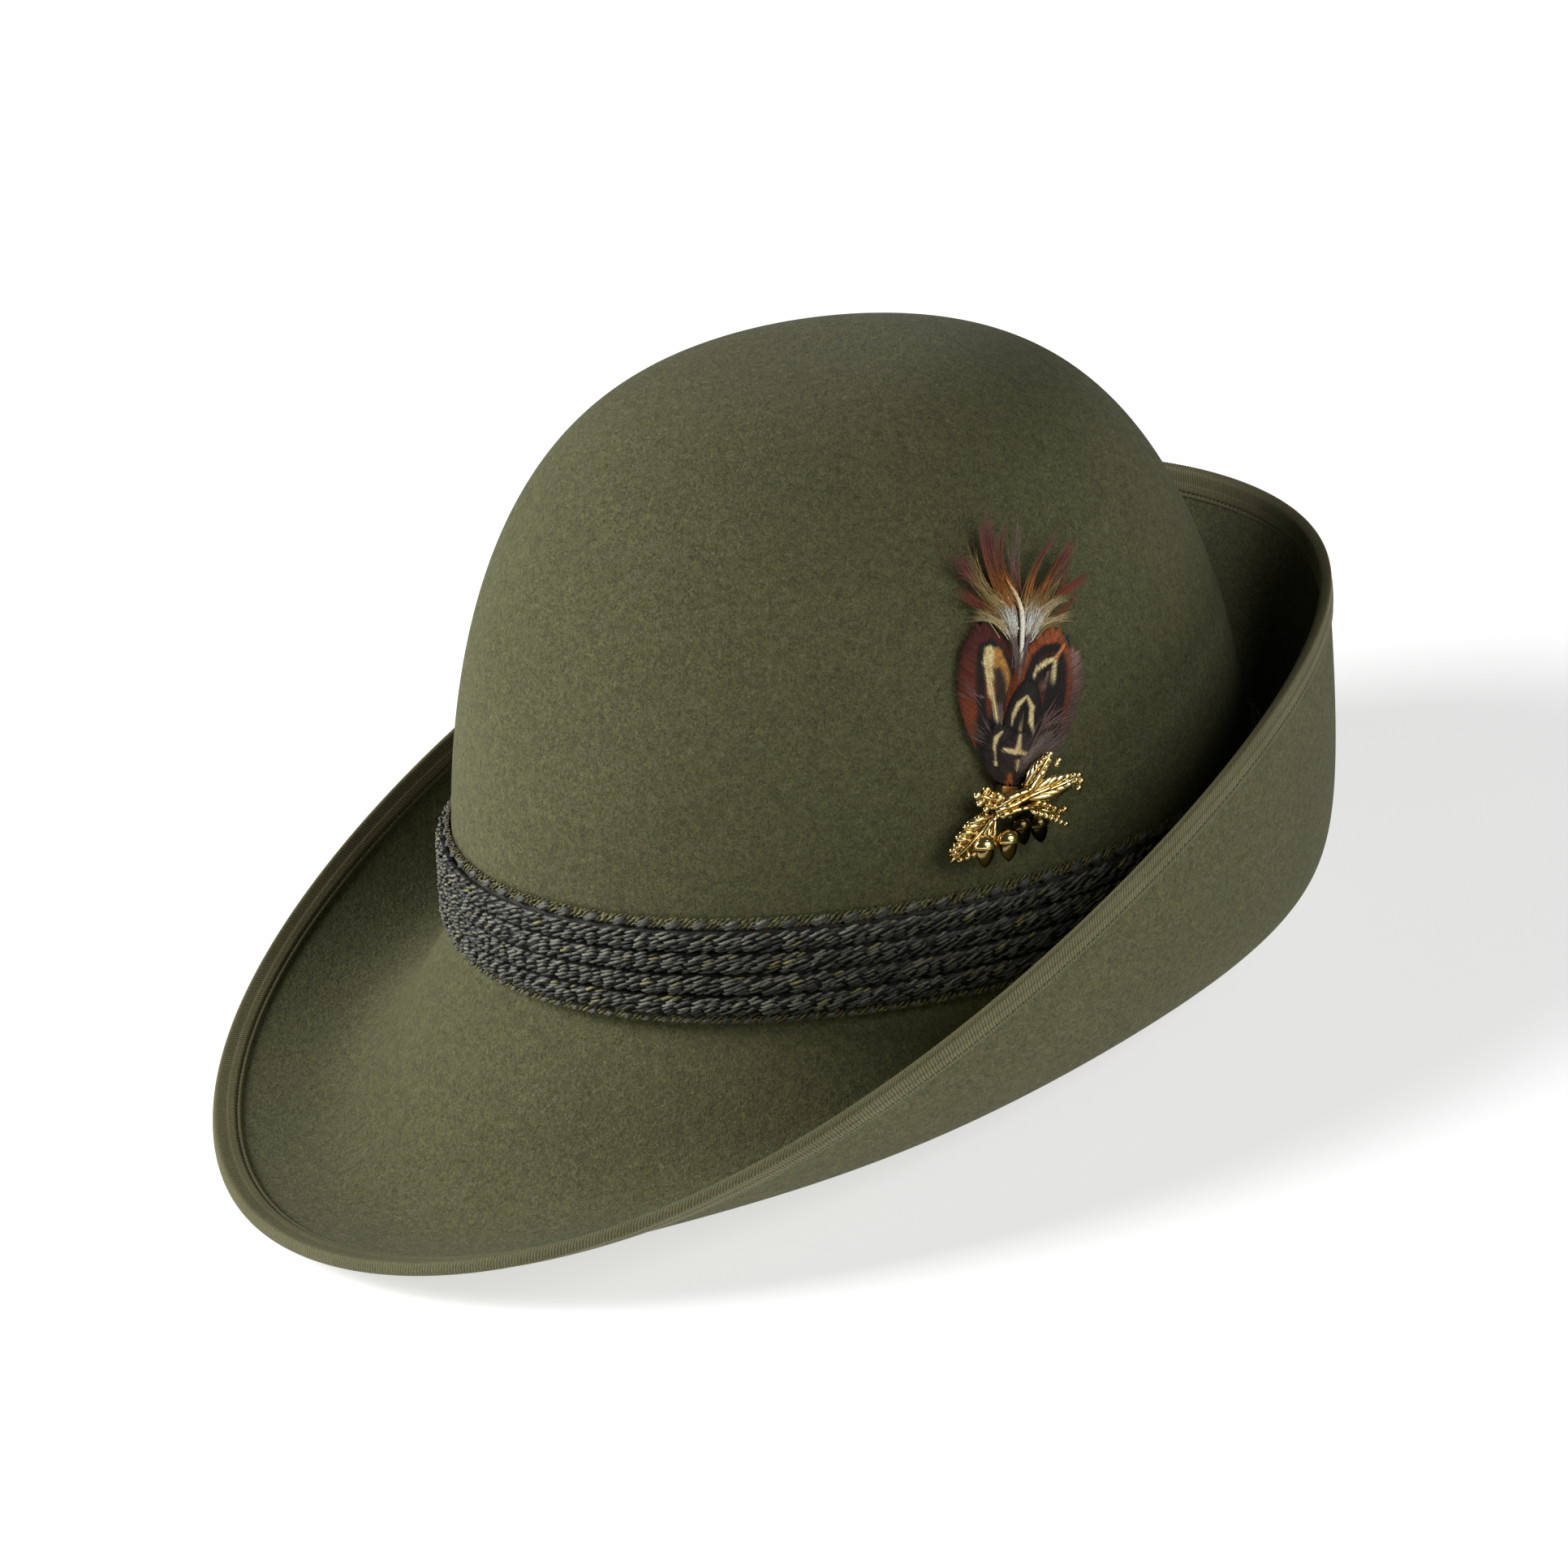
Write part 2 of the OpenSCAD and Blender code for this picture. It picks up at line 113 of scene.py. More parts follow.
def crown_point(a, t, out=0.0):
    """A point of the dome: t is 0 at the brim break and a quarter turn at the top."""
    ring = dome_scale(t)
    rise = np.sin(t) ** (2 / FULLNESS)
    return xyz((HALF_WIDTH + out) * np.sin(a) * ring, -(HALF_LENGTH + out) * np.cos(a) * ring,
               (DOME + out) * rise)


def wall_point(a, z, out):
    """A point at height z of the crown's wall, out from the felt's outer face."""
    ring = dome_scale(np.arcsin((np.maximum(z, 0) / DOME) ** (FULLNESS / 2)))
    return xyz((HALF_WIDTH * ring + out) * np.sin(a), -(HALF_LENGTH * ring + out) * np.cos(a), z)


def outward(a):
    return xyz(np.sin(a), -np.cos(a), 0 * a)


def sloped(way, angle):
    return way * np.cos(angle)[..., None] + np.sin(angle)[..., None] * UP


def brim_section(a):
    """The four control points of the brim's section at angle a, and the way it runs."""
    start = xyz(HALF_WIDTH * np.sin(a), -HALF_LENGTH * np.cos(a), 0 * a)
    wide = BRIM_HALF_WIDTH - BACK_FLARE * np.cos(a) - CORNER_FILL * np.cos(2 * a)
    edge = xyz(wide * np.sin(a),
               -BRIM_FORWARD - BRIM_HALF_LENGTH * np.cos(a) + FRONT_BLUNT * np.cos(2 * a) + np.cos(3 * a),
               EDGE_HEIGHT - EDGE_RISE * np.cos(a) + 2 * np.cos(2 * a) + EDGE_CLIMB * np.cos(3 * a)
               - np.cos(4 * a))
    span = np.linalg.norm(edge - start, axis=-1)[..., None]
    way = unit((edge - start) * np.array([1, 1, 0]))
    leave = np.radians(2 * np.cos(a) - BREAK_SLOPE)
    turn = np.radians(TURN_UP - TURN_UP_BACK * np.cos(a) + np.cos(2 * a) + TURN_UP_DELAY * np.cos(3 * a))
    first = start + LEAVE_HANDLE * span * sloped(way, leave)
    last = edge - TURN_HANDLE * span * sloped(way, turn)
    return start, first, last, edge, way, span, sloped(way, turn)


def brim_point(a, t, up=0.0):
    """A point of the brim: t is 0 at the break and 1 at the edge, up is off its upper face."""
    a, t, up = np.broadcast_arrays(a, t, up)
    b, c, d, e, way, _, _ = brim_section(a)
    t = t[..., None]
    point = (1 - t) ** 3 * b + 3 * (1 - t) ** 2 * t * c + 3 * (1 - t) * t * t * d + t ** 3 * e
    slope = (1 - t) ** 2 * (c - b) + 2 * (1 - t) * t * (d - c) + t * t * (e - d)
    flat = (slope * way).sum(-1)
    upright = unit(-way * slope[..., 2:] + UP * flat[..., None])
    return point + up[..., None] * upright


def hem_point(a, inset, up):
    """The same near the edge, by the distance in from it; a negative inset goes past it."""
    a, inset, up = np.broadcast_arrays(a, inset, up)
    _, _, _, _, _, span, end_way = brim_section(a)
    t = 1 - np.maximum(inset, 0) / (3 * TURN_HANDLE * span[..., 0])
    return brim_point(a, t, up) + np.maximum(-inset, 0)[..., None] * end_way


def even_steps(curve, low, high, count, closed=False):
    """Values of a curve's parameter that step evenly along it."""
    value = np.linspace(low, high, 4001)
    run = np.concatenate([[0], np.cumsum(np.linalg.norm(np.diff(curve(value), axis=0), axis=1))])
    return np.interp(np.linspace(0, run[-1], count, endpoint=not closed), run, value)


# ---- Meshes ----


class Shape:
    """Grids of points, joined into one smooth mesh with a tint at each point."""

    def __init__(self):
        self.points, self.tints, self.corners, self.sizes, self.count = [], [], [], [], 0

    def rod(self, points, tint=(1, 1, 1)):
        """Rings of points, row after row, with a cap on each end."""
        self.grid(points, tint, False)

    def hoop(self, points, tint=(1, 1, 1)):
        """Rings of points whose last row joins the first."""
        self.grid(points, tint, True)

    def grid(self, points, tint, closed):
        """points[..., row, column, xyz]; each leading index is a grid of its own."""
        rows, columns = points.shape[-3:-1]
        points = points.reshape(-1, rows, columns, 3)
        tints = np.broadcast_to(tint, points.shape).reshape(points.shape)
        ids = np.arange(len(points) * rows * columns).reshape(-1, rows, columns)
        flat, shade = points.reshape(-1, 3), tints.reshape(-1, 3)
        ring = np.concatenate([ids, ids[:, :1]], 1) if closed else ids
        ring = np.concatenate([ring, ring[:, :, :1]], 2)
        quads = np.stack([ring[:, :-1, :-1], ring[:, :-1, 1:], ring[:, 1:, 1:], ring[:, 1:, :-1]], -1)
        faces = [quads.reshape(-1, 4)]
        for row, order in () if closed else ((0, 1), (-1, -1)):
            poles = len(flat) + np.arange(len(points))
            flat = np.concatenate([flat, points[:, row].mean(1)])
            shade = np.concatenate([shade, tints[:, row].mean(1)])
            here, after = ring[:, row, :-1], ring[:, row, 1:]
            fan = np.stack([np.broadcast_to(poles[:, None], here.shape), after, here], -1)
            faces.append(fan.reshape(-1, 3)[:, ::order])
        triangles = np.concatenate([f[:, [0, k, k + 1]] for f in faces for k in range(1, f.shape[1] - 1)])
        corner = flat[triangles]
        inside_out = np.einsum("ij,ij->", corner[:, 0], np.cross(corner[:, 1], corner[:, 2])) < 0
        for f in faces:
            f = f[:, ::-1] if inside_out else f
            self.corners.append((f + self.count).ravel())
            self.sizes.append(np.full(len(f), f.shape[1]))
        self.points.append(flat)
        self.tints.append(shade)
        self.count += len(flat)

    def build(self, name, material, body, node, slot, place=in_hat):
        mesh = bpy.data.meshes.new(name)
        points, corners = place(np.concatenate(self.points)), np.concatenate(self.corners)
        sizes = np.concatenate(self.sizes)
        mesh.vertices.add(len(points))
        mesh.vertices.foreach_set("co", points.astype(np.float32).ravel())
        mesh.loops.add(len(corners))
        mesh.loops.foreach_set("vertex_index", corners.astype(np.int32))
        mesh.polygons.add(len(sizes))
        starts = np.concatenate([[0], np.cumsum(sizes)[:-1]])
        mesh.polygons.foreach_set("loop_start", starts.astype(np.int32))
        mesh.update(calc_edges=True)
        mesh.shade_smooth()
        tint = mesh.color_attributes.new("tint", "FLOAT_COLOR", "POINT")
        colours = np.concatenate(self.tints)
        colours = np.c_[colours, np.ones(len(colours))]
        tint.data.foreach_set("color", colours.astype(np.float32).ravel())
        mesh.materials.append(material)
        piece = bpy.data.objects.new(name, mesh)
        bpy.context.scene.collection.objects.link(piece)
        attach(piece, body)
        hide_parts(node)
        return piece


def tube(path, radius, sides, up, flat=1.0, closed=False):
    """Rings round path[..., point, xyz]; up is the way the tube's thin side faces."""
    if closed:
        along = np.roll(path, -1, -2) - np.roll(path, 1, -2)
    else:
        along = np.gradient(path, axis=-2)
    side = unit(np.cross(along, up))
    top = unit(np.cross(side, along))
    turn = np.arange(sides) * TAU / sides
    radius = np.broadcast_to(radius, path.shape[:-1])[..., None, None]
    ring = np.cos(turn)[:, None] * side[..., None, :] + flat * np.sin(turn)[:, None] * top[..., None, :]
    return path[..., None, :] + radius * ring


def capsule(ends, radius, sides, up, flat=1.0, bow=0.0):
    """Short rounded threads: ends[..., 2, xyz], bowed along up by bow."""
    u = np.linspace(0, 1, 7)
    along = ends[..., :1, :] + u[:, None] * (ends[..., 1:, :] - ends[..., :1, :])
    along = along + bow * np.sin(np.pi * u)[:, None] * np.asarray(up)
    swell = np.sqrt(np.maximum(1 - (2 * u - 1) ** 4, 0.02))
    return tube(along, radius * swell, sides, up, flat)


# ---- Colours and materials ----


def srgb(red, green, blue):
    """A colour as seen, 0 to 255, to the linear values that shaders take."""
    c = np.array([red, green, blue]) / 255
    return np.where(c <= 0.04045, c / 12.92, ((c + 0.055) / 1.055) ** 2.4)


CREAM, WHITE, BLACK = srgb(252, 226, 166), srgb(255, 249, 228), srgb(34, 27, 24)
CHESTNUT, MAROON, RUST = srgb(136, 64, 32), srgb(94, 38, 30), srgb(180, 96, 52)
GOLDEN, MAUVE, DOWN, TEAL = srgb(212, 152, 74), srgb(150, 116, 108), srgb(134, 114, 108), srgb(22, 52, 58)
OLIVE, PLUM, SHAFT = srgb(172, 146, 88), srgb(136, 72, 70), srgb(208, 134, 58)


class Nodes:
    """A Principled material and short ways to add the nodes that drive it."""

    def __init__(self, name, **sockets):
        self.material = bpy.data.materials.new(name)
        self.material.use_nodes = True
        self.tree = self.material.node_tree
        self.shader = self.tree.nodes["Principled BSDF"]
        for key, value in sockets.items():
            self.shader.inputs[key.replace("_", " ").title().replace("Ior", "IOR")].default_value = value
        self.place = self.node("ShaderNodeTexCoord").outputs["Object"]

    def node(self, kind, **inputs):
        made = self.tree.nodes.new(kind)
        for key, value in inputs.items():
            socket = made.inputs[int(key[1:]) if key[1:].isdigit() else key]
            if isinstance(value, bpy.types.NodeSocket):
                self.tree.links.new(value, socket)
            else:
                socket.default_value = value
        return made

    def noise(self, size_mm, detail=3.0, distortion=0.0, vector=None):
        """Noise whose spots are about size_mm across."""
        made = self.node("ShaderNodeTexNoise", Scale=0.6 / (size_mm * MM), Detail=detail,
                         Distortion=distortion, Vector=vector or self.place)
        return made.outputs["Fac"]

    def stretched(self, x, y, z):
        return self.node("ShaderNodeMapping", Vector=self.place, Scale=(x, y, z)).outputs["Vector"]

    def math(self, operation, first, second):
        made = self.node("ShaderNodeMath", i0=first, i1=second)
        made.operation = operation
        return made.outputs[0]

    def ramp(self, value, *stops):
        """Colours or grey values at places from 0 to 1."""
        made = self.node("ShaderNodeValToRGB", Fac=value)
        elements = made.color_ramp.elements
        for k, (at, colour) in enumerate(stops):
            element = elements[k] if k < 2 else elements.new(at)
            element.position = at
            element.color = (*np.broadcast_to(colour, 3), 1)
        return made.outputs["Color"]

    def mix(self, how, share, first, second):
        made = self.node("ShaderNodeMix")
        made.data_type, made.blend_type = "RGBA", how
        for socket, value in ((made.inputs[0], share), (made.inputs[6], first), (made.inputs[7], second)):
            if isinstance(value, bpy.types.NodeSocket):
                self.tree.links.new(value, socket)
            else:
                socket.default_value = value if np.isscalar(value) else (*value, 1)
        return made.outputs[2]

    def tint(self):
        made = self.node("ShaderNodeAttribute")
        made.attribute_name = "tint"
        return made.outputs["Color"]

    def finish(self, colour, height=None, depth_mm=0.1, roughness=None):
        link = self.tree.links.new
        link(colour, self.shader.inputs["Base Color"])
        if roughness:
            link(roughness, self.shader.inputs["Roughness"])
        if height:
            bump = self.node("ShaderNodeBump", Height=height, Distance=depth_mm * MM, Strength=1.0)
            link(bump.outputs["Normal"], self.shader.inputs["Normal"])
        return self.material


def felt_material():
    """Wool felt: fine matted fibres, cloudy patches and a few stray light hairs."""
    n = Nodes("felt", roughness=0.95, sheen_weight=0.06, sheen_roughness=0.5, specular_ior_level=0.1)
    clouds = n.noise(28, 2.0)
    tufts = n.noise(1.1, 3.0, 1.2)
    fibres = n.noise(0.55, 3.0, 2.2)
    cloud_colour = n.ramp(clouds, (0.35, srgb(88, 89, 61)), (0.65, srgb(93, 93, 65)))
    tuft_shade = n.ramp(tufts, (0.36, 0.86), (0.64, 1.14))
    fibre_shade = n.ramp(fibres, (0.36, 0.64), (0.66, 1.42))
    colour = n.mix("MULTIPLY", 1.0, cloud_colour, tuft_shade)
    colour = n.mix("MULTIPLY", 1.0, colour, fibre_shade)
    hairs = n.ramp(n.noise(1.1, 1.0, 6.0), (0.74, 0.0), (0.78, 0.4))
    colour = n.mix("MIX", hairs, colour, srgb(150, 150, 116))
    height = n.math("ADD", n.math("MULTIPLY", fibres, 0.7), tufts)
    return n.finish(colour, height, 0.3)


def ribbon_material():
    """Grosgrain ribbon: a dull warp over the moulded ribs."""
    n = Nodes("binding_ribbon", roughness=0.75, sheen_weight=0.05, sheen_roughness=0.4,
              specular_ior_level=0.3)
    weave = n.noise(0.35, 3.0)
    wear = n.noise(9, 3.0)
    colour = n.ramp(wear, (0.3, srgb(96, 93, 62)), (0.7, srgb(104, 101, 69)))
    colour = n.mix("MULTIPLY", 1.0, colour, n.ramp(weave, (0.3, 0.78), (0.7, 1.2)))
    # The tint carries the binding's painted rib highlights and painted shade.
    colour = n.mix("MULTIPLY", 1.0, colour, n.tint())
    return n.finish(colour, weave, 0.08)


def yarn_material(name, shine):
    """Twisted yarn, coloured by its own tint."""
    n = Nodes(name, roughness=0.48, sheen_weight=shine, sheen_roughness=0.3, specular_ior_level=0.5)
    ply = n.noise(0.3, 3.0, 0.5)
    colour = n.mix("MULTIPLY", 1.0, n.tint(), n.ramp(ply, (0.35, 0.6), (0.65, 1.35)))
    return n.finish(colour, ply, 0.1)


def feather_material():
    """Vanes of fine barbs, coloured by their own tint."""
    n = Nodes("feather", roughness=0.6, sheen_weight=0.04, specular_ior_level=0.3)
    streak = n.noise(0.3, 3.0, 0.3)
    colour = n.mix("MULTIPLY", 1.0, n.tint(), n.ramp(streak, (0.35, 0.75), (0.65, 1.25)))
    return n.finish(colour, streak, 0.04)


def metal_material(name, low, high, roughness, tinted=False):
    """Plated metal with cloudy tarnish and a faint orange-peel skin."""
    n = Nodes(name, metallic=1.0)
    skin = n.noise(1.2, 3.0)
    colour = n.ramp(n.noise(3.5, 4.0), (0.35, low), (0.62, high))
    if tinted:
        colour = n.mix("MULTIPLY", 1.0, colour, n.tint())
    polish = n.ramp(skin, (0.3, roughness * 0.7), (0.7, roughness * 1.5))
    return n.finish(colour, skin, 0.05, polish)


def leather_material():
    """Thin smooth sweatband leather with a pebbled grain."""
    n = Nodes("sweat_leather", roughness=0.55, specular_ior_level=0.4)
    grain = n.node("ShaderNodeTexVoronoi", Vector=n.place, Scale=1300.0).outputs["Distance"]
    colour = n.ramp(n.noise(12, 4.0), (0.3, srgb(112, 74, 44)), (0.7, srgb(134, 90, 56)))
    colour = n.mix("MULTIPLY", 1.0, colour, n.ramp(grain, (0.1, 0.85), (0.6, 1.08)))
    return n.finish(colour, grain, 0.12, n.ramp(grain, (0.1, 0.62), (0.6, 0.45)))


def satin_material(name, low, high):
    """Satin with a fine weave and soft folds of colour."""
    n = Nodes(name, roughness=0.34, anisotropic=0.5, sheen_weight=0.3)
    weave = n.noise(0.3, 2.0, 0.0, n.stretched(1, 1, 4))
    colour = n.mix("MULTIPLY", 1.0, n.ramp(n.noise(16, 3.0), (0.3, low), (0.7, high)),
                   n.ramp(weave, (0.3, 0.86), (0.7, 1.1)))
    return n.finish(colour, weave, 0.04)


def tape_material():
    """Woven tape and piping: crossed threads over a dark ground."""
    n = Nodes("tape", roughness=0.8, sheen_weight=0.15)
    warp = n.noise(0.5, 1.0, 0.0, n.stretched(1, 1, 6))
    colour = n.mix("MULTIPLY", 1.0, n.tint(), n.ramp(warp, (0.35, 0.6), (0.65, 1.25)))
    return n.finish(colour, warp, 0.1)


FELT_LOOK = felt_material()
RIBBON_LOOK = ribbon_material()
CORD_LOOK = yarn_material("braid_yarn", 0.12)
THREAD_LOOK = yarn_material("thread", 0.1)
FEATHER_LOOK = feather_material()
GOLD_LOOK = metal_material("gold", srgb(226, 186, 108), srgb(255, 236, 176), 0.17, True)
BRASS_LOOK = metal_material("brass", srgb(150, 118, 62), srgb(206, 172, 104), 0.3)
LEATHER_LOOK = leather_material()
LINING_LOOK = satin_material("lining_satin", srgb(126, 106, 60), srgb(150, 128, 76))
BOW_LOOK = satin_material("bow_ribbon", srgb(116, 84, 54), srgb(140, 104, 70))
TAPE_LOOK = tape_material()

# ---- Felt, binding and its stitches ----

SHELL_COLUMNS, POLE_GAP = 320, 0.004
HEM_SHARE = 6.5 / 150    # the outer part of the brim, whose rows follow the edge by distance


def felt_body():
    """One shell: down the dome, out along the brim, round its edge and back underneath."""
    columns = np.arange(SHELL_COLUMNS) * TAU / SHELL_COLUMNS
    top = np.pi / 2 - POLE_GAP

    def dome_rows(count):
        return even_steps(lambda t: crown_point(np.pi / 2, t), top, 0, count)[:, None]

    above = np.linspace(0, 1, 56)[1:, None]
    below = np.linspace(0, 1, 46)[::-1, None]
    hem = np.array([3.0, 1.0, 0.25])[:, None]
    past_edge = np.array([-0.25, -1.1, -1.95])[:, None]
    hem_start = 1 - HEM_SHARE
    rows = [crown_point(columns, dome_rows(104)),
            brim_point(columns, above * hem_start),
            hem_point(columns, hem, 0.0),
            hem_point(columns, 0.0, past_edge),
            hem_point(columns, hem[::-1], FELT_BACK),
            brim_point(columns, below * hem_start, FELT_BACK),
            crown_point(columns, dome_rows(50)[::-1][1:], FELT_BACK)]
    shape = Shape()
    shape.rod(np.concatenate(rows))
    shape.build("felt_shell", FELT_LOOK, "hat", "felt_body", "felt")


RIBS = 1080
RIBBED, RIDGE, STITCH_LINE = 2.7, 5.0, 5.45
# Rib crests get a painted highlight and the grooves between them painted shade; FULL_RIB is the rib depth that
# takes their full strength.
RIB_PAINTED_HIGHLIGHT, RIB_PAINTED_SHADE, FULL_RIB = 1.42, 0.46, 0.08
BINDING_STITCHES, STITCH_LIFT, BLACK_THREAD = 560, 0.52, (46, 44, 34)


def binding_profile():
    """(inset, up, rib depth, shade) round the ribbon's section, from its upper hem over the fold
    to its lower hem and back along the felt. The shade is painted: a painted highlight on the raised ridge,
    painted shade in the crease at its edge, on the fold and on the part against the felt."""
    inset = np.array([BINDING_WIDTH, 6.6, 6.3, 5.8, 5.55, 5.4, 5.2, 5.0, 4.5, 3.9, 3.3, 2.95,
                      RIBBED, 2.4, 1.7, 1.0, 0.3])
    on_ridge = (inset > RIBBED) & (inset < RIDGE + 0.1)
    lift = np.where(on_ridge, 0.8, 0.62) - 0.28 * np.exp(-((inset - STITCH_LINE) / 0.17) ** 2)
    lift[0] = 0.1
    rib = np.where(on_ridge, 0.09, 0.12)
    # Painted highlight on the ridge and painted shade in the crease at its edge.
    shade = np.where(on_ridge, 1.12, 1.0) - 0.3 * np.exp(-((inset - RIBBED) / 0.2) ** 2)
    turn = np.linspace(0, np.pi, 9)[1:-1]
    middle, half = -FELT / 2, FELT / 2 + 0.64
    # The fold gets a little painted shade.
    fold = (-0.75 * np.sin(turn), middle + half * np.cos(turn), 0.12 + 0 * turn, 0.96 + 0 * turn)
    # The part against the felt gets half painted shade.
    inside = (np.array([6.6, 3, 0.2, -0.1, -0.1, 0.2, 3, 6.6]),
              np.array([-2.28, -2.28, -2.28, -1.8, -0.4, 0.08, 0.08, 0.08]),
              np.zeros(8), np.full(8, 0.5))
    upper = (inset, lift, rib, shade)
    lower = (inset[::-1], -FELT - lift[::-1], rib[::-1], shade[::-1])
    return [np.concatenate(part) for part in zip(upper, fold, lower, inside)]


def brim_binding():
    angles = even_steps(lambda a: hem_point(a, 0.0, 0.0), 0, TAU, 2 * RIBS, closed=True)[:, None]
    inset, up, rib, shade = binding_profile()
    wave = np.where(np.arange(2 * RIBS) % 2, 0.5, -0.5)[:, None] * rib
    centre = -FELT / 2
    points = hem_point(angles, inset - wave * (inset < 0), up + wave * np.sign(up - centre))
    shape = Shape()
    # Painted highlight on each rib's crest and painted shade in each groove, times the section's painted shade.
    rib_painted_shading = np.where(np.arange(2 * RIBS) % 2, RIB_PAINTED_HIGHLIGHT, RIB_PAINTED_SHADE)[:, None]
    rib_painted_shading = 1 + (rib_painted_shading - 1) * np.minimum(rib / FULL_RIB, 1)
    shape.hoop(points, (shade * rib_painted_shading)[..., None])
    shape.build("ribbon_binding", RIBBON_LOOK, "hat", "brim_binding", "binding_ribbon")


def stitches(shape, curve, count, share, radius, up, tint, slant=0.0):
    """A row of short threads along curve(angle, offset); share is how much of the pitch each
    covers, and slant moves its far end across the row."""
    angles = even_steps(lambda a: curve(a, 0.0), 0, TAU, count, closed=True)
    step = np.diff(np.append(angles, TAU + angles[0]))
    ends = np.stack([curve(angles, -slant), curve(angles + share * step, slant)], -2)
    ways = up(angles)[:, None, :]
    shape.rod(capsule(ends, radius, 6, ways, 0.8, 0.05), tint)


def binding_stitching():
    shape = Shape()
    for up, way in ((STITCH_LIFT, 1), (-FELT - STITCH_LIFT, -1)):
        def line(a, offset):
            return hem_point(a, STITCH_LINE + offset, up)

        def facing(a):
            return way * unit(hem_point(a, STITCH_LINE, 1.0) - hem_point(a, STITCH_LINE, 0.0))
        stitches(shape, line, BINDING_STITCHES, 0.62, 0.17, facing, srgb(*BLACK_THREAD))
    shape.build("binding_threads", THREAD_LOOK, "hat", "binding_stitching", "thread")


# ---- Band ----

BAND_STEPS = 720
BAND_RUN, FLOAT_UNITS = 620.0, 84
CORD_YARNS, CORD_ROWS, EDGE_YARNS, EDGE_ROWS = 186, 6, 420, 5
YARN_LIGHT, YARN_DARK, YARN_OLIVE = srgb(130, 130, 114), srgb(44, 44, 39), srgb(134, 128, 80)
EDGE_OLIVE = srgb(112, 108, 64)


def band_angles(count):
    return even_steps(lambda a: wall_point(a, BAND_BOTTOM + 13, CORD_OUT), 0, TAU, count, closed=True)


def round_band(share):
    """Angles at shares of the way round the band, which may pass 1."""
    angles = band_angles(BAND_STEPS)
    run = np.arange(BAND_STEPS + 1) / BAND_STEPS
    return np.interp(share % 1, run, np.append(angles, TAU)) + TAU * np.floor(share)


def yarns(shape, share, length, z, rise, out, bulge, radius, tint, curl=0.0, steps=8, sides=5):
    """Short floats of yarn: each starts at a share of the way round, covers length of it, climbs
    by rise and stands out by bulge in its middle. curl hooks its upper end over."""
    u = np.linspace(0, 1, steps)
    angle = round_band(share[:, None] + length[:, None] * u)
    climb = u - 0.13 * np.sin(TAU * u)
    height = z[:, None] + rise[:, None] * climb - curl * np.maximum(u - 0.72, 0) ** 2 * 12
    reach = out[:, None] + bulge * (np.sin(np.pi * u) ** 0.6 - 0.55)
    swell = np.sqrt(np.maximum(1 - (2 * u - 1) ** 4, 0.03))
    # Painted shade: each float is darker towards its ends, where it dips under its neighbours.
    shade = 0.35 + 0.8 * np.sin(np.pi * np.clip(0.08 + 0.9 * u, 0, 1)) ** 0.8
    thick = np.reshape(radius, (-1, 1)) * swell
    rings = tube(wall_point(angle, height, reach), thick, sides, outward(angle))
    shape.rod(rings, (tint[:, None] * shade[:, None])[:, :, None, :])


def yarn_tints(rng, count, olive):
    """Charcoal yarns from dark to light, with a share of olive ones."""
    grey = rng.beta(2, 2.4, (count, 1))
    tint = YARN_DARK + grey * (YARN_LIGHT - YARN_DARK)
    return np.where(rng.random((count, 1)) < olive, YARN_OLIVE * rng.uniform(0.6, 1.1, (count, 1)), tint)


def band_cord(i):
    """One thick cord: slanted floats of yarn over a near-black core, in staggered rows; the rows and the core
    carry painted shade.
    """
    shape = Shape()
    rng = np.random.default_rng(100 + i)
    middle = CORD_FLOOR + (i - 0.5) * CORD_HEIGHT
    per_row, rows = CORD_YARNS, CORD_ROWS
    for row in range(rows):
        turn = np.radians(np.interp(row, [0, rows - 1], [-64, 66]))
        share = (np.arange(per_row) + rng.random() + rng.normal(0, 0.16, per_row)) / per_row
        hook = np.sin(TAU * (share * FLOAT_UNITS + 0.07 * row))
        length = (3.5 + 0.5 * hook + rng.normal(0, 0.4, per_row)) / BAND_RUN
        rise = 0.85 + 0.2 * hook + rng.normal(0, 0.14, per_row)
        z = middle + 2.0 * np.sin(turn) - rise / 2 + 0.1 * hook + rng.normal(0, 0.08, per_row)
        out = CORD_OUT - 0.35 + 1.45 * np.cos(turn) + 0.1 * hook + rng.normal(0, 0.08, per_row)
        olive = np.interp(row, [0, 2, rows - 1], [0.0, 0.02, 0.1])
        # Painted shade and highlight: the lower rows are darker, as in shade, the upper ones lighter, as lit from
        # above, and each float is a little lighter where its hook stands out.
        light = np.interp(row, [0, 1, 3, rows - 1], [0.25, 0.5, 0.95, 1.15])
        shade = light * (1 + 0.15 * hook[:, None])
        tint = yarn_tints(rng, per_row, olive) * shade
        yarns(shape, share, length, z, rise, out, 0.5, 0.34 + 0.03 * hook, tint, curl=0.35, sides=6)
    # The core's near-black is painted shade for the gaps between the floats.
    ring = np.arange(10) * TAU / 10
    some = band_angles(BAND_STEPS)[::3, None]
    core = wall_point(some, middle + 2.2 * np.sin(ring), CORD_OUT - 0.45 + 0.9 * np.cos(ring))
    shape.hoop(core, srgb(20, 20, 17))
    shape.build(f"twisted_cord_{i}", CORD_LOOK, "hat", f"band_cord_{i}", "braid")


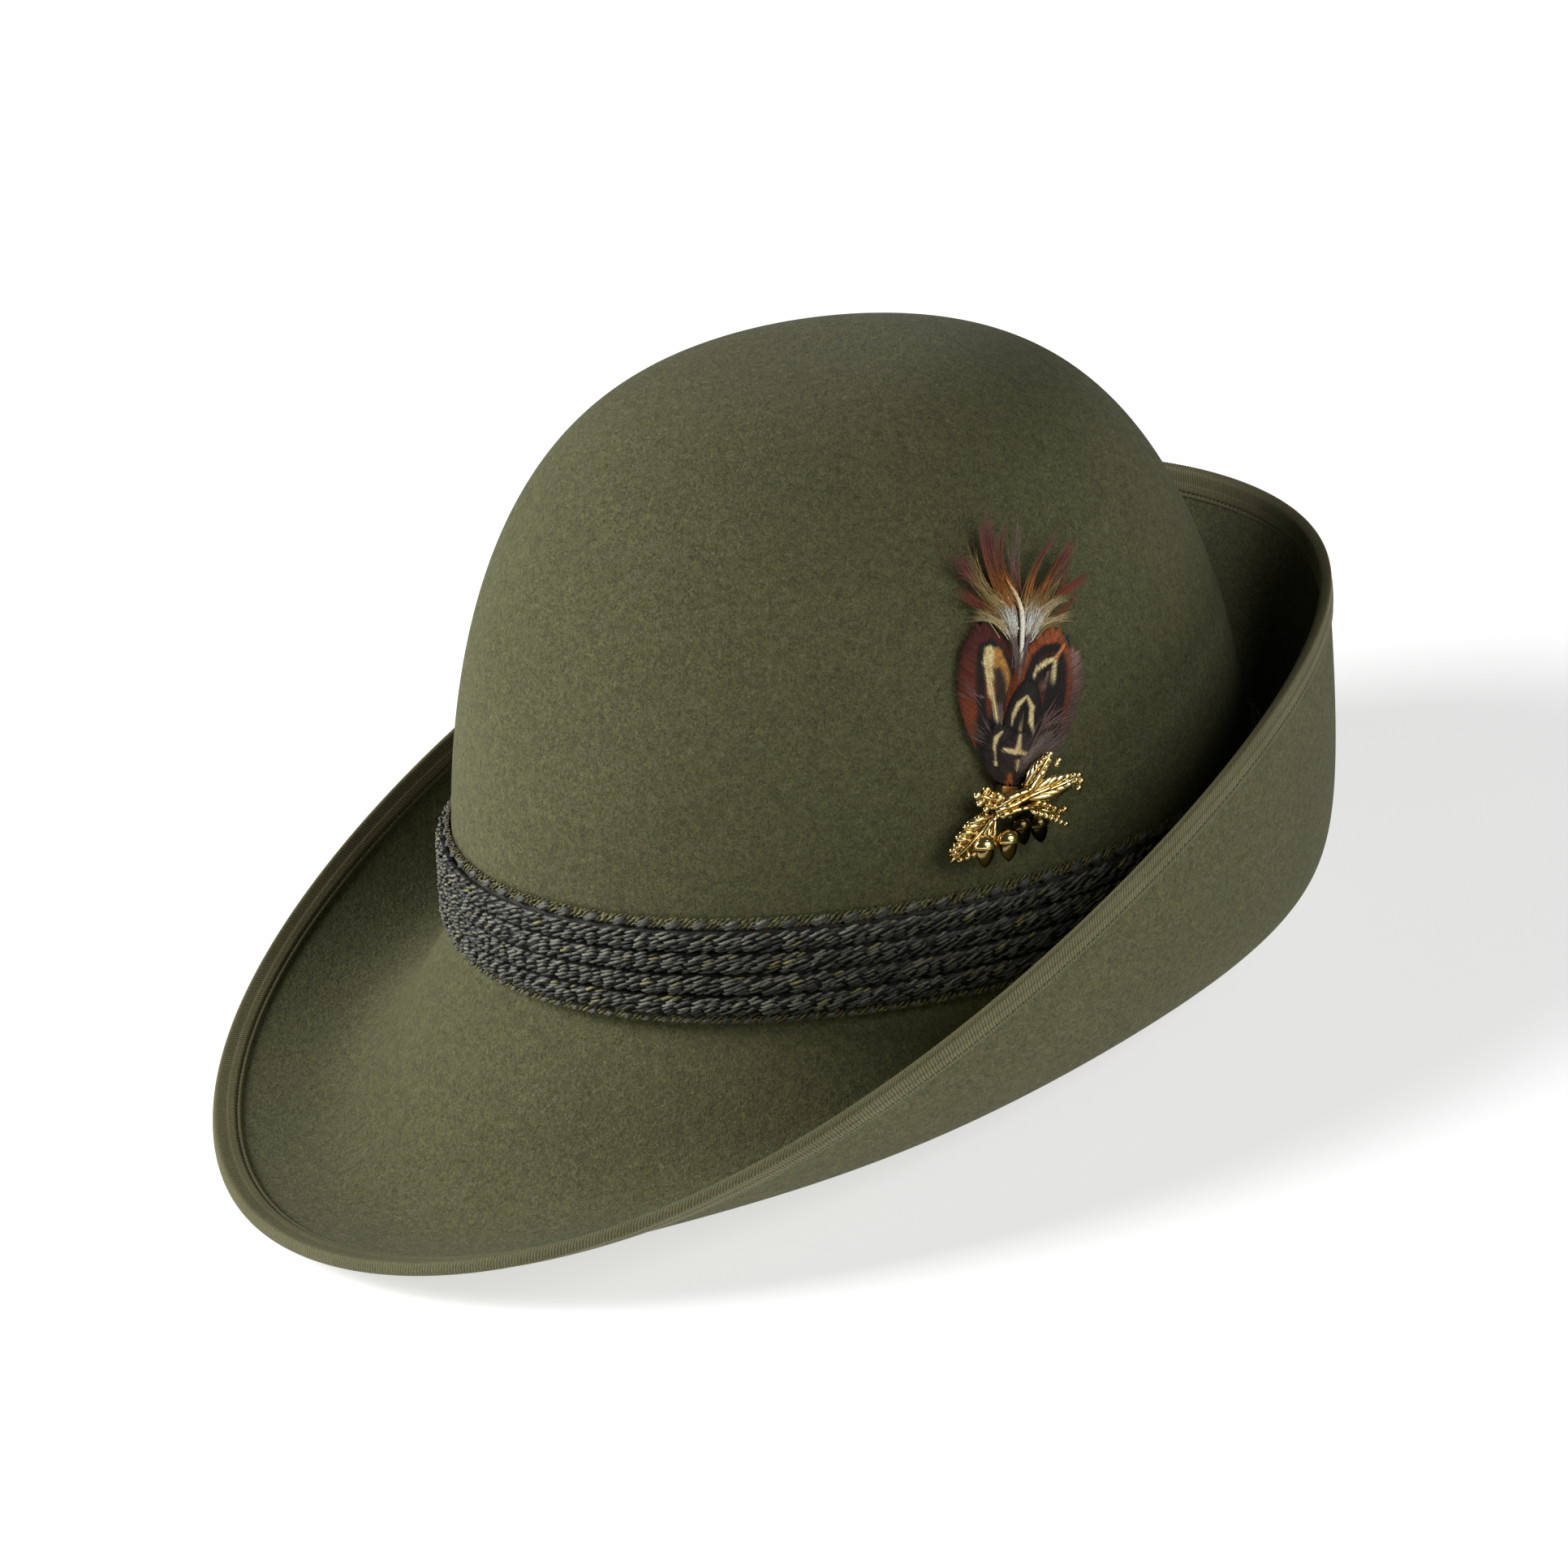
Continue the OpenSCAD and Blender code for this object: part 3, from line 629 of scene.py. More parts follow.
def edging(name, node, middle, height, floats, radius, length, rise, proud=0.0):
    """An olive selvedge of fine slanted yarns that stands proud, overlaid with bold dark
    floats."""
    shape = Shape()
    rng = np.random.default_rng(int(10 * middle))
    fine = EDGE_YARNS
    for row in range(EDGE_ROWS):
        turn = np.radians(-50 + 32 * row)
        share = (np.arange(fine) + 0.4 * row + rng.normal(0, 0.12, fine)) / fine
        z = middle - 0.35 + (height / 2 - 0.15) * np.sin(turn) + rng.normal(0, 0.08, fine)
        out = 0.45 + (BACKING_FACE + SKIN_GAP + proud) * np.cos(turn) + rng.normal(0, 0.05, fine)
        tint = EDGE_OLIVE * rng.uniform(0.4, 1.3, (fine, 1))
        reach = np.full(fine, 1.9 / BAND_RUN)
        yarns(shape, share, reach, z, np.full(fine, 0.7), out, 0.3, 0.27, tint, steps=5, sides=4)
    share = (np.arange(floats) + rng.normal(0, 0.05, floats)) / floats
    for k in range(3):
        z = np.full(floats, middle - rise / 2 + (k - 1) * radius * 1.1) + rng.normal(0, 0.05, floats)
        reach = np.full(floats, length / BAND_RUN) * (1 - 0.28 * abs(k - 1))
        start = share + (length / BAND_RUN - reach) / 2
        # Painted shade on the two lower yarns of each float and a painted highlight on the top one.
        tint = yarn_tints(rng, floats, 0.0) * (0.35, 0.45, 0.95)[k]
        out = np.full(floats, BACKING_FACE + 0.95 + proud - 0.15 * k)
        yarns(shape, start, reach, z, np.full(floats, rise), out, 0.55, radius, tint, steps=9, sides=6)
    shape.build(name, CORD_LOOK, "hat", node, "braid_edging")


def band_backing():
    shape = Shape()
    angles = band_angles(360)[:, None]
    up = np.array([BAND_BOTTOM, BAND_BOTTOM + 8, BAND_TOP - 8, BAND_TOP])
    z = np.concatenate([up[:1], up, up[:0:-1]])
    out = np.array([0.1] + 4 * [BACKING_FACE] + 3 * [0.1])
    shape.hoop(wall_point(angles, z, out), srgb(58, 56, 46))
    shape.build("backing_tape", TAPE_LOOK, "hat", "band_backing", "backing")


def band_keeper():
    """A woven tab wrapped over the cords' ends: its face swells over each cord."""
    shape = Shape()
    width, columns = 14.0, 29
    across = np.linspace(-1, 1, columns)[:, None]
    z = np.linspace(CORD_FLOOR - 0.3, BAND_TOP + 0.3, 49)
    swell = 0.5 * np.abs(np.sin(np.pi * (z - CORD_FLOOR) / CORD_HEIGHT))
    reach = CORD_OUT + CORD_DEPTH / 2 + 0.1 + swell
    roll = 1.4 * np.maximum(np.abs(across) - 0.9, 0) * 10
    angle = np.pi + across * (width / 2) / HALF_LENGTH
    weave = 0.05 * np.where((np.arange(columns)[:, None] + np.arange(49)) % 2, 1, -1)
    face = wall_point(angle, z, reach + 0.9 - roll + weave)
    back = wall_point(angle, z, reach - roll)
    shape.rod(np.concatenate([face, back[:, ::-1]], 1), srgb(64, 63, 56))
    shape.build("cord_end_tab", TAPE_LOOK, "hat", "band_keeper", "braid")


# ---- Inside ----

SWEAT_BOTTOM, REED_HEIGHT, REED_RADIUS, REED_TURNS = -1.9, -2.9, 0.75, 225
SWEAT_STITCHES, SWEAT_STITCH_HEIGHT = 210, 1.0
LINING_HEM, TIP_SEAM, SEAM_CORD = 8, 54, 55.2    # degrees up the dome


def sweatband():
    """Leather standing on the reed below, with a slight bulge and a faint wave."""
    shape = Shape()
    angles = np.arange(360)[:, None] * TAU / 360
    u = np.linspace(0, 1, 22)
    z = SWEAT_BOTTOM + (SWEAT_TOP - SWEAT_BOTTOM) * u
    bulge = 0.25 * np.sin(np.pi * u)
    wave = 0.12 * np.sin(9 * angles) * u
    inner = wall_point(angles, z, -SWEAT_INSET - SWEAT + bulge + wave)
    outer = wall_point(angles, z[::-1], -SWEAT_INSET - 0.05)
    shape.hoop(np.concatenate([inner, outer], 1))
    shape.build("leather_sweatband", LEATHER_LOOK, "hat", "sweatband", "sweat_leather")


def sweatband_reed():
    """Piping along the sweatband's lower edge, whipped with thread."""
    shape = Shape()
    angles = np.arange(900) * TAU / 900
    path = wall_point(angles, REED_HEIGHT + 0 * angles, -SWEAT_INSET - SWEAT / 2)
    radius = REED_RADIUS + 0.05 * np.cos(REED_TURNS * angles)
    shape.hoop(tube(path, radius, 8, outward(angles), closed=True), srgb(86, 62, 42))
    shape.build("reed_piping", TAPE_LOOK, "hat", "sweatband_reed", "reed")


def sweatband_stitching():
    shape = Shape()

    def line(a, offset):
        return wall_point(a, SWEAT_STITCH_HEIGHT + offset + 0 * a, -SWEAT_INSET - SWEAT - 0.05)
    stitches(shape, line, SWEAT_STITCHES, 0.72, 0.2, lambda a: -outward(a), srgb(206, 190, 150), 0.06)
    shape.build("sweatband_threads", THREAD_LOOK, "hat", "sweatband_stitching", "light_thread")


def ribbon_loop(shape, path, width):
    """A flat upright ribbon with thickness along path[point, xyz]."""
    along = np.gradient(path, axis=0)
    face = unit(np.cross(along, UP))
    half = width[..., None] / 2 * UP
    across = np.linspace(-1, 1, 9)[:, None]
    front = path[:, None] + across * half[:, None] + 0.12 * face[:, None]
    back = path[:, None] + across[::-1] * half[:, None] - 0.12 * face[:, None]
    shape.rod(np.concatenate([front, back], 1))


def sweatband_bow():
    """A small ribbon bow: two flat loops, two tails and a knot."""
    shape = Shape()
    face = HALF_LENGTH - SWEAT_INSET - SWEAT - 0.4
    u = np.linspace(0, 1, 25)
    for side in (-1, 1):
        x = side * 9.5 * np.sin(np.pi * u) ** 0.8
        y = face - 0.55 - 0.5 * np.cos(np.pi * u) * np.sin(np.pi * u)
        width = 3.0 + 2.0 * np.sin(np.pi * u)
        ribbon_loop(shape, xyz(x, y, 8 + 0 * u), width)
        tail = xyz(side * (1 + 8 * u), face - 0.2 + 0 * u, 7 - 2.2 * u)
        ribbon_loop(shape, tail, 3.2 + 0 * u)
    knot = xyz(1.3 * np.cos(TAU * u), face - 0.6 - 0.75 * np.sin(TAU * u), 8 + 0 * u)
    ribbon_loop(shape, knot, 3.4 + 0 * u)
    shape.build("ribbon_bow", BOW_LOOK, "hat", "sweatband_bow", "bow_ribbon")


def lining_side():
    """Satin gathered in soft folds below the tip's seam."""
    shape = Shape()
    angles = np.arange(720)[:, None] * TAU / 720
    t = np.radians(np.linspace(LINING_HEM, TIP_SEAM, 40))
    u = np.linspace(0, 1, 40)
    folds = np.sin(48 * angles + 1.5 * np.sin(5 * angles)) * 0.32 * u ** 1.5
    folds = folds + 0.14 * np.sin(17 * angles + 6 * u)
    inner = crown_point(angles, t, -LINING_INSET - 0.45 - np.abs(folds))
    outer = crown_point(angles, t[::-1], -LINING_INSET - 0.05)
    shape.hoop(np.concatenate([inner, outer], 1))
    side = shape.build("satin_side", LINING_LOOK, "hat", "lining_side", "lining_satin")


def lining_tip():
    """The lining's crown piece, with a corded seam round it."""
    shape = Shape()
    angles = np.arange(240) * TAU / 240
    t = np.radians(np.linspace(TIP_SEAM + 0.5, 89.7, 44))[:, None]
    sag = 0.35 * np.cos(2 * angles) * np.cos(t) + 0.1 * np.sin(23 * angles) * np.cos(t) ** 3
    seam = 0.5 * np.exp(-((np.degrees(t) - SEAM_CORD) / 0.5) ** 2)
    under = crown_point(angles, t, -LINING_INSET - 0.5 - np.abs(sag) - seam)
    above = crown_point(angles, t[::-1], -LINING_INSET - 0.05)
    shape.rod(np.concatenate([under[::-1], above[::-1]]))
    tip = shape.build("satin_tip", LINING_LOOK, "hat", "lining_tip", "lining_satin")


# ---- Oak-leaf badge ----

BADGE_BACK, KNOB_SQUASH = 4.2, 0.8


def drop(shape, start, end, wide, high, z, arch=0.3):
    """A raised bead that swells towards its far end: start and end are (x, y)."""
    u = np.linspace(0, 1, 13)
    start, end = np.array(start), np.array(end)
    flat = start + u[:, None] * (end - start)
    path = np.c_[flat, z + arch * np.sin(np.pi * u)]
    swell = np.maximum(np.sin(np.pi * u ** 1.5), 0.1) ** 0.6
    shape.rod(tube(path, wide / 2 * swell, 10, UP, high / wide))


def cast_leaf(shape, root, turn, length, width, lobes, stretch, z, curve=0.0, scallops=0):
    """A cast leaf: a dark lobed plate, a midrib, a swelling rib out to each lobe, and rolled
    scallops along one margin. stretch is how far along the rest of the leaf each rib runs."""
    angle = np.radians(turn)

    def spot(along, across):
        bow = across + curve * np.sin(np.pi * np.clip(along / length, 0, 1))
        return np.stack([root[0] + along * np.cos(angle) - bow * np.sin(angle),
                         root[1] + along * np.sin(angle) + bow * np.cos(angle)], -1)

    def half(u):
        return width / 2 * np.maximum(np.sin(np.pi * (0.1 + 0.88 * u)), 0.05) ** 0.8

    u = np.linspace(0, 1, 61)[:, None]
    v = np.linspace(-1, 1, 17)
    lobe = 0.78 + 0.22 * np.cos(TAU * lobes * (u - 0.12))
    flat = spot(length * u + 0 * v, half(u) * lobe * v)
    dome = z - 0.3 + 0.6 * (1 - v * v) ** 0.6 + 0 * u
    top = np.concatenate([flat, dome[..., None]], -1)
    under = np.concatenate([flat, np.full_like(dome, z - 0.9)[..., None]], -1)
    shape.rod(np.concatenate([top, under[:, ::-1]], 1), (0.3, 0.24, 0.16))
    pitch = length / lobes
    for k in range(lobes):
        base = (k + 0.1) * pitch
        far = base + stretch * (length - base)
        for side in (-1, 1):
            end = spot(far, side * half(far / length) * 1.04)
            drop(shape, spot(base, 0.25 * side), end, 0.85 * pitch * (1 - 0.35 * stretch), 1.5, z + 0.1)
    drop(shape, spot(0, 0), spot(length * 1.02, 0), 1.1, 1.3, z + 0.45, 0.4)
    for k in range(scallops):
        along = (0.24 + 0.62 * k / max(scallops - 1, 1)) * length
        reach = -0.96 * half(along / length)
        drop(shape, spot(along - 1.1, reach * 0.97), spot(along + 1.2, reach * 1.03), 1.35, 1.4, z + 0.2)


def knob(shape, x, y, z, radius):
    """A round bud with a dimpled skin."""
    t = np.linspace(-np.pi / 2 + 0.12, np.pi / 2 - 0.12, 15)[:, None]
    a = np.arange(20) * TAU / 20
    r = radius * (1 + 0.05 * np.cos(5 * a) * np.cos(t))
    side = r * np.cos(t)
    shape.rod(xyz(x + side * np.cos(a), y + side * np.sin(a), z + KNOB_SQUASH * r * np.sin(t)))


def twig(shape, points, thick, thin):
    """A knotted twig through a few points."""
    points = np.array(points, float)
    reach = np.linspace(0, 1, len(points))
    u = np.linspace(0, 1, 40)
    path = np.stack([np.interp(u, reach, points[:, k]) for k in range(3)], -1)
    smooth = np.array([1, 2, 3, 2, 1]) / 9
    for k in range(3):
        path[2:-2, k] = np.convolve(path[:, k], smooth, "valid")
    radius = np.linspace(thick, thin, 40) * (1 + 0.16 * np.abs(np.sin(3 * TAU * u)))
    shape.rod(tube(path, radius, 10, UP))


def acorn(shape, x, y, turn, size, lift, painted_light):
    """A smooth nut with a point, in a cup of small scales, lift off the badge's back. Its last argument scales the
    whole acorn's colour as painted light, full when lit and low when in shade, and the nut takes a third of it as
    painted shade and a painted reflection of the dark felt.
    """
    a = np.arange(36) * TAU / 36
    u = np.linspace(0.02, 1, 30)[:, None]
    nut_radius = 2.05 * np.sin(np.pi * np.minimum(0.32 + 0.68 * u, 0.995)) ** 0.62
    nut = (2.2 + 5.0 * u, nut_radius + 0 * a)
    v = np.linspace(0.02, 1, 26)[:, None]
    scales = 0.16 * np.abs(np.sin(9 * a + np.pi * np.floor(v * 6))) * np.abs(np.sin(6 * np.pi * v)) ** 0.5
    cup_radius = 2.62 * np.sin(np.pi / 2 * np.minimum(v * 1.25, 1)) ** 0.55 + scales
    cup = (3.1 * v, cup_radius - 0.35 * np.maximum(v - 0.92, 0) * 12)
    angle = np.radians(turn)
    for (along, radius), shine in ((nut, 0.3 * painted_light), (cup, painted_light)):
        along, radius = np.broadcast_arrays(size * along, size * radius)
        across = radius * np.cos(a)
        skin = xyz(x + along * np.cos(angle) - across * np.sin(angle),
                   y + along * np.sin(angle) + across * np.cos(angle),
                   BADGE_BACK + lift + 0.8 * radius * np.sin(a))
        shape.rod(skin, (shine, shine * 0.95, shine * 0.8))


def oak_leaf_badge():
    shape = Shape()
    z = BADGE_BACK + 1.3
    cast_leaf(shape, (-4.0, 1.5), -148, 15.0, 8.6, 6, 0.42, z - 0.2, 0.6, 4)
    cast_leaf(shape, (3.0, 3.6), 8, 15.6, 5.0, 5, 0.6, z + 0.3)
    cast_leaf(shape, (3.4, 5.2), 43, 11.0, 3.8, 4, 0.6, z + 0.2)
    cast_leaf(shape, (4.0, 1.8), -27, 9.8, 4.0, 5, 0.4, z)
    cast_leaf(shape, (-2.4, 4.2), 150, 6.4, 4.0, 3, 0.4, z + 0.2)
    twig(shape, [(-4, 3.4, z), (0, 5.2, z + 1.3), (4.5, 5.6, z + 1.3), (8, 8.6, z + 0.8)], 1.15, 0.6)
    twig(shape, [(-4.5, 2.8, z + 0.9), (0, 3.2, z + 1.7), (4.6, 4.2, z + 1.3), (10, 4.9, z + 1.2)],
         0.75, 0.5)
    twig(shape, [(-3.4, 1.2, z + 0.8), (0.5, 1.8, z + 1.5), (4, 1.6, z + 1.4), (7.4, 0.6, z + 0.9)],
         0.8, 0.5)
    twig(shape, [(-3, 1.6, z), (-6.5, 0.2, z + 1.1), (-8.4, -2, z + 0.9)], 0.6, 0.5)
    for x, y, radius in ((-8.3, 7.4, 1.0), (-5.8, 8.1, 1.05), (-8.0, 5.4, 0.85), (-5.2, 6.2, 1.2),
                         (-3.0, 5.4, 1.45), (-6.6, 3.6, 0.8), (1.4, 4.9, 1.5), (12.6, 9.8, 0.8)):
        knob(shape, x, y, z + 0.5, radius)
    for k in range(7):
        u = k / 6
        knob(shape, 6.0 + 7.0 * u, -0.4 - 4.4 * u, z + 0.6, 0.66)
    for x, y in ((17.8, 5.9), (18.2, 4.4), (17.4, 2.9), (13.1, -1.2), (11.2, 12.6), (13.2, 10.6)):
        knob(shape, x, y, z + 0.6, 0.85)
    # The two left acorns are painted as lit and the two right ones as in shade.
    acorn(shape, -8.2, -1.9, -98, 1.08, 2.9, 1.0)
    acorn(shape, -2.2, -2.0, -96, 1.08, 2.7, 1.0)
    acorn(shape, 2.0, -0.2, -88, 1.0, 0.9, 0.12)
    acorn(shape, 6.3, -0.8, -87, 1.0, 0.9, 0.12)
    shape.build("oak_leaf_casting", GOLD_LOOK, "ornament", "oak_leaf_badge", "gold", at_pin)


# ---- Feathers ----


def smooth_step(low, high, value):
    u = np.clip((value - low) / (high - low), 0, 1)
    return u * u * (3 - 2 * u)


def stroke(colour, at, points, widths, paint, soft=0.35):
    """Paints a brush stroke through points over colour; at is where each colour lies."""
    points = np.array(points, float)
    widths = np.interp(np.linspace(0, 1, len(points)), np.linspace(0, 1, len(widths)), widths)
    share = np.zeros(at.shape[:-1])
    for k in range(len(points) - 1):
        run = points[k + 1] - points[k]
        u = np.clip((at[..., :2] - points[k]) @ run / (run @ run), 0, 1)
        gap = np.linalg.norm(at[..., :2] - points[k] - u[..., None] * run, axis=-1)
        half = (widths[k] + u * (widths[k + 1] - widths[k])) / 2
        share = np.maximum(share, 1 - smooth_step(-soft, soft, gap - half))
    return colour + share[..., None] * (paint - colour)


def painted(at, colour, *strokes):
    """Lays brush strokes over colour, one after the other."""
    for points, widths, *paint in strokes:
        colour = stroke(colour, at, points, widths, *paint)
    return colour


def barbs(shape, roots, bends, tips, width, paint, samples=13):
    """Fine flat barbs from roots[..., xyz] to tips, each on a curve through its own bend."""
    u = np.linspace(0, 1, samples)[:, None]
    r, b, t = (p[..., None, :] for p in (roots, bends, tips))
    path = (1 - u) ** 2 * r + 2 * u * (1 - u) * b + u * u * t
    taper = np.interp(u[:, 0], [0, 0.7, 1], [1, 0.85, 0.15])
    rings = tube(path, width / 2 * taper, 3, UP, 0.3)
    shape.rod(rings, np.minimum(paint(path), 1)[..., None, :])


def vane(shape, root, turn, length, width, layer, paint, seed, shaft=0.35, count=250, spread=0.0):
    """A flat feather: a tapering shaft with barbs swept forward to a rounded outline."""
    rng = np.random.default_rng(seed)
    way = np.array([np.sin(np.radians(turn)), np.cos(np.radians(turn))])
    across = np.array([way[1], -way[0]])

    def spot(u, side, z):
        flat = np.array(root) + length * u[..., None] * way + np.asarray(side)[..., None] * across
        return np.concatenate([flat, np.broadcast_to(z, flat.shape[:-1])[..., None]], -1)

    def outline(u):
        return 0.3 + width / 2 * np.sin(np.pi * np.clip(u, 0, 1) ** 1.25) ** 0.6

    start = np.linspace(0.06, 0.97, count)
    for side in (-1, 1):
        split = 0.012 * np.sin(17 * start + seed + side) + rng.normal(0, 0.003, count)
        end = np.minimum(start + 0.22 * (1 - start) ** 0.6 + 0.03 + split, 1.0)
        reach = outline(end) * (1 + spread * rng.normal(0, 1, count))
        reach = np.where(end >= 0.999, outline(start) * 0.35, reach)
        z = layer + rng.normal(0, 0.03, count)
        tips = spot(end, side * reach, z - 0.02 * reach)
        bends = spot(start + 0.35 * (end - start), side * 0.62 * reach, z + 0.12)
        shade = rng.uniform(0.82, 1.18, (count, 1, 1))
        roots = spot(start, 0 * start, z)
        barbs(shape, roots, bends, tips, 0.36, lambda at: shade * paint(at))
    u = np.linspace(-0.1, 0.98, 40)
    path = spot(u, 0 * u, layer + 0.14)
    radius = shaft * np.interp(u, [-0.1, 0.5, 1], [1, 0.55, 0.15])
    shape.rod(tube(path, radius, 6, UP, 0.6), paint(path)[:, None, :])


def speckle(at, colour, amount):
    """Breaks up a vane's colour along its barbs."""
    wave = np.sin(at[..., 0] * 9.1 + 3 * np.sin(at[..., 1] * 2.3)) * np.sin(at[..., 1] * 7.7)
    return colour * (1 + amount * wave[..., None])


def paint_left(at):
    low = smooth_step(40, 20, at[..., 1])[..., None]
    colour = painted(
        at, MAROON + low * (CHESTNUT - MAROON),
        ([(-5.5, 38), (-3.6, 35), (-2.6, 31), (-3.4, 24), (-5, 16), (-5, 8)], [1.5, 3, 5, 7, 7], BLACK),
        ([(-7.6, 39.3), (-10.1, 38.2), (-10.2, 33.5), (-9.4, 27.8), (-8.6, 22), (-7.6, 12)],
         [1.4, 1.6, 2.0, 2.4, 3.0, 4.0], BLACK),
        ([(-7.6, 39.3), (-5.3, 37.6), (-3.6, 35), (-2.8, 33)], [1.8, 1.5, 1.2], BLACK),
        ([(-6.2, 36.6), (-4.6, 33.6), (-3.2, 30.4), (-2.6, 28)], [3.2, 3.0, 2.4, 1.4], GOLDEN),
        ([(-5.3, 33), (-4.6, 30.6), (-3.9, 27)], [1.8, 2.6, 2.6], srgb(58, 46, 34), 0.6),
        ([(-4.6, 25), (-3.5, 21), (-2.2, 18.5)], [1.0, 1.6, 1.0], DOWN, 0.6),
        ([(-8.0, 37.4), (-8.1, 34.8), (-7.6, 31.3), (-6.7, 27.6), (-5.6, 24.2), (-4.5, 20.6)],
         [2.4, 2.7, 1.8, 1.3, 0.9, 0.1], CREAM, 0.2))
    return speckle(at, colour, 0.1)


def paint_right(at):
    low = smooth_step(42, 28, at[..., 1])[..., None]
    colour = painted(
        at, RUST + low * (CHESTNUT - RUST),
        ([(3.4, 30.5), (5, 33.5), (7.5, 35), (9.5, 35), (9.6, 30), (9, 24), (8, 14)],
         [3, 4, 5, 6, 6, 7], BLACK),
        ([(2.2, 32), (3.8, 36.4), (6.3, 38.4), (9.4, 38.9), (10.5, 37), (10.5, 32), (10.0, 26)],
         [2.0, 2.2, 2.4, 2.4, 2.4, 2.6], BLACK),
        ([(6.6, 31.5), (5.2, 28.3)], [1.4, 1.6], srgb(62, 56, 46), 0.5),
        ([(7.4, 33.2), (6.2, 29.4)], [0.5, 0.9], MAUVE),
        ([(3.0, 31.2), (4.6, 34.0), (7.1, 35.7), (9.2, 36.5), (9.0, 33.2), (8.4, 28.6)],
         [0.3, 0.9, 1.3, 0.8, 1.1, 0.0], CREAM, 0.2),
        ([(9.2, 36.5), (11.4, 39.6)], [0.9, 0.5], srgb(240, 160, 96)))
    return speckle(at, colour, 0.1)


def paint_center(at):
    colour = painted(
        at, np.broadcast_to(BLACK, at.shape),
        ([(1.9, 30.5), (2.6, 28.6)], [1.5, 3.5], srgb(44, 44, 34), 0.8),
        ([(-1.5, 20.7), (-1.1, 23), (-0.1, 25.6), (2.1, 27.6), (3.6, 25.1), (3.6, 21.8), (4.6, 19.2)],
         [0.1, 0.8, 1.1, 0.5, 1.2, 1.1, 0.4], CREAM, 0.2),
        ([(1.4, 24.2), (1.0, 20.1), (0.9, 15.9), (0.3, 13.5)], [0.0, 0.4, 0.7, 0.8], CREAM, 0.2))
    return speckle(at, colour, 0.12)


def paint_base_left(at):
    colour = painted(
        at, np.broadcast_to(srgb(52, 42, 38), at.shape),
        ([(-3.8, 19.2), (-5.2, 17.7), (-5.5, 15.5), (-4.9, 13.8), (-4.6, 11.6)],
         [0.5, 1.2, 0.6, 0.3, 0.9], CREAM, 0.2),
        ([(-1.4, 9.4), (-0.7, 6.5)], [1.2, 1.6], RUST))
    return speckle(at, colour, 0.2)


def paint_base_right(at):
    colour = painted(
        at, np.broadcast_to(srgb(60, 48, 44), at.shape),
        ([(0.8, 18.6), (0.7, 16), (0.2, 14.7), (-3.2, 15.1)], [0.7, 1.3, 1.2, 0.9], CREAM),
        ([(0.4, 15.0), (2.6, 14.4)], [1.2, 0.9], CREAM),
        ([(0.9, 12.6), (0.8, 10.6)], [0.9, 0.5], CREAM),
        ([(-0.9, 9.2), (-0.6, 6.5)], [1.2, 1.6], RUST))
    return speckle(at, colour, 0.2)


def paint_back(at):
    low = smooth_step(40, 26, at[..., 1])[..., None]
    return speckle(at, 1.2 * MAUVE + low * (srgb(110, 84, 78) - 1.2 * MAUVE), 0.25)


def paint_teal(at):
    low = smooth_step(42, 36, at[..., 1])[..., None]
    return speckle(at, TEAL + low * (BLACK - TEAL), 0.3)


def down_fan(shape, rng, root, low, high, near, far, layer, count, colour):
    """Soft loose barbs fanned between two angles, in degrees from straight up."""
    angle = np.radians(rng.uniform(low, high, count))
    length = rng.uniform(near, far, count)
    z = layer + rng.uniform(-0.1, 0.25, count)
    roots = xyz(root[0] + rng.normal(0, 0.6, count), root[1] + rng.normal(0, 0.8, count), z)
    tips = roots + xyz(length * np.sin(angle), length * np.cos(angle), 0.25 * rng.normal(0, 1, count))
    droop = rng.normal(0, 0.09, count) * length
    bends = (roots + tips) / 2 + xyz(droop * np.cos(angle), -droop * np.sin(angle), 0.3)
    shade = rng.uniform(0.65, 1.3, (count, 1, 1))
    barbs(shape, roots, bends, tips, 0.2, lambda at: shade * np.broadcast_to(colour, at.shape))


def feather(rng, node, slot, paint, seed, root, turn, length, width, layer, fans=(), **more):
    """One vane as a piece, with loose down: fans hold what down_fan takes after rng."""
    shape = Shape()
    vane(shape, root, turn, length, width, layer, paint, seed, **more)
    for fan in fans:
        down_fan(shape, rng, *fan)
    shape.build(node + "_vane", FEATHER_LOOK, "ornament", node, slot, in_plume)


def vane_feathers():
    rng = np.random.default_rng(5)
    left_down = (((-5, 16), -75, -25, 6, 11, 2.2, 26, DOWN * 0.8),
                 ((-9, 26), -80, -40, 5, 9, 2.2, 14, MAUVE))
    right_down = (((6, 20), 25, 75, 6, 10, 2.6, 40, MAUVE),)
    base_down = (((2.0, 10), 20, 62, 8, 15, 3.3, 150, DOWN),
                 ((2.5, 12), 30, 60, 8, 12, 3.5, 60, srgb(170, 150, 138)))
    red, dark = "feather_chestnut", "feather_dark"
    feather(rng, "feather_left", red, paint_left, 11, (-0.9, 6), -14.5, 39, 16.5, 2.3, left_down)
    feather(rng, "feather_right", red, paint_right, 12, (0.9, 6), 12, 38.5, 16.2, 2.6, right_down)
    feather(rng, "feather_center", dark, paint_center, 13, (1.0, 6), 3, 25.5, 9.6, 2.9, shaft=0.22)
    feather(rng, "feather_base_left", dark, paint_base_left, 14, (-0.8, 6), -16, 15.5, 9.5, 3.2,
            count=70, shaft=0.2, spread=0.05)
    feather(rng, "feather_base_right", dark, paint_base_right, 15, (0.4, 6), 4, 13.5, 10, 3.45, base_down,
            count=70, shaft=0.2, spread=0.06)
    feather(rng, "feather_back", red, paint_back, 16, (1.2, 6), 23, 35.5, 13.5, 1.45, spread=0.05)
    feather(rng, "feather_teal", dark, paint_teal, 17, (0.4, 6), 18.5, 38.0, 9, 1.1)


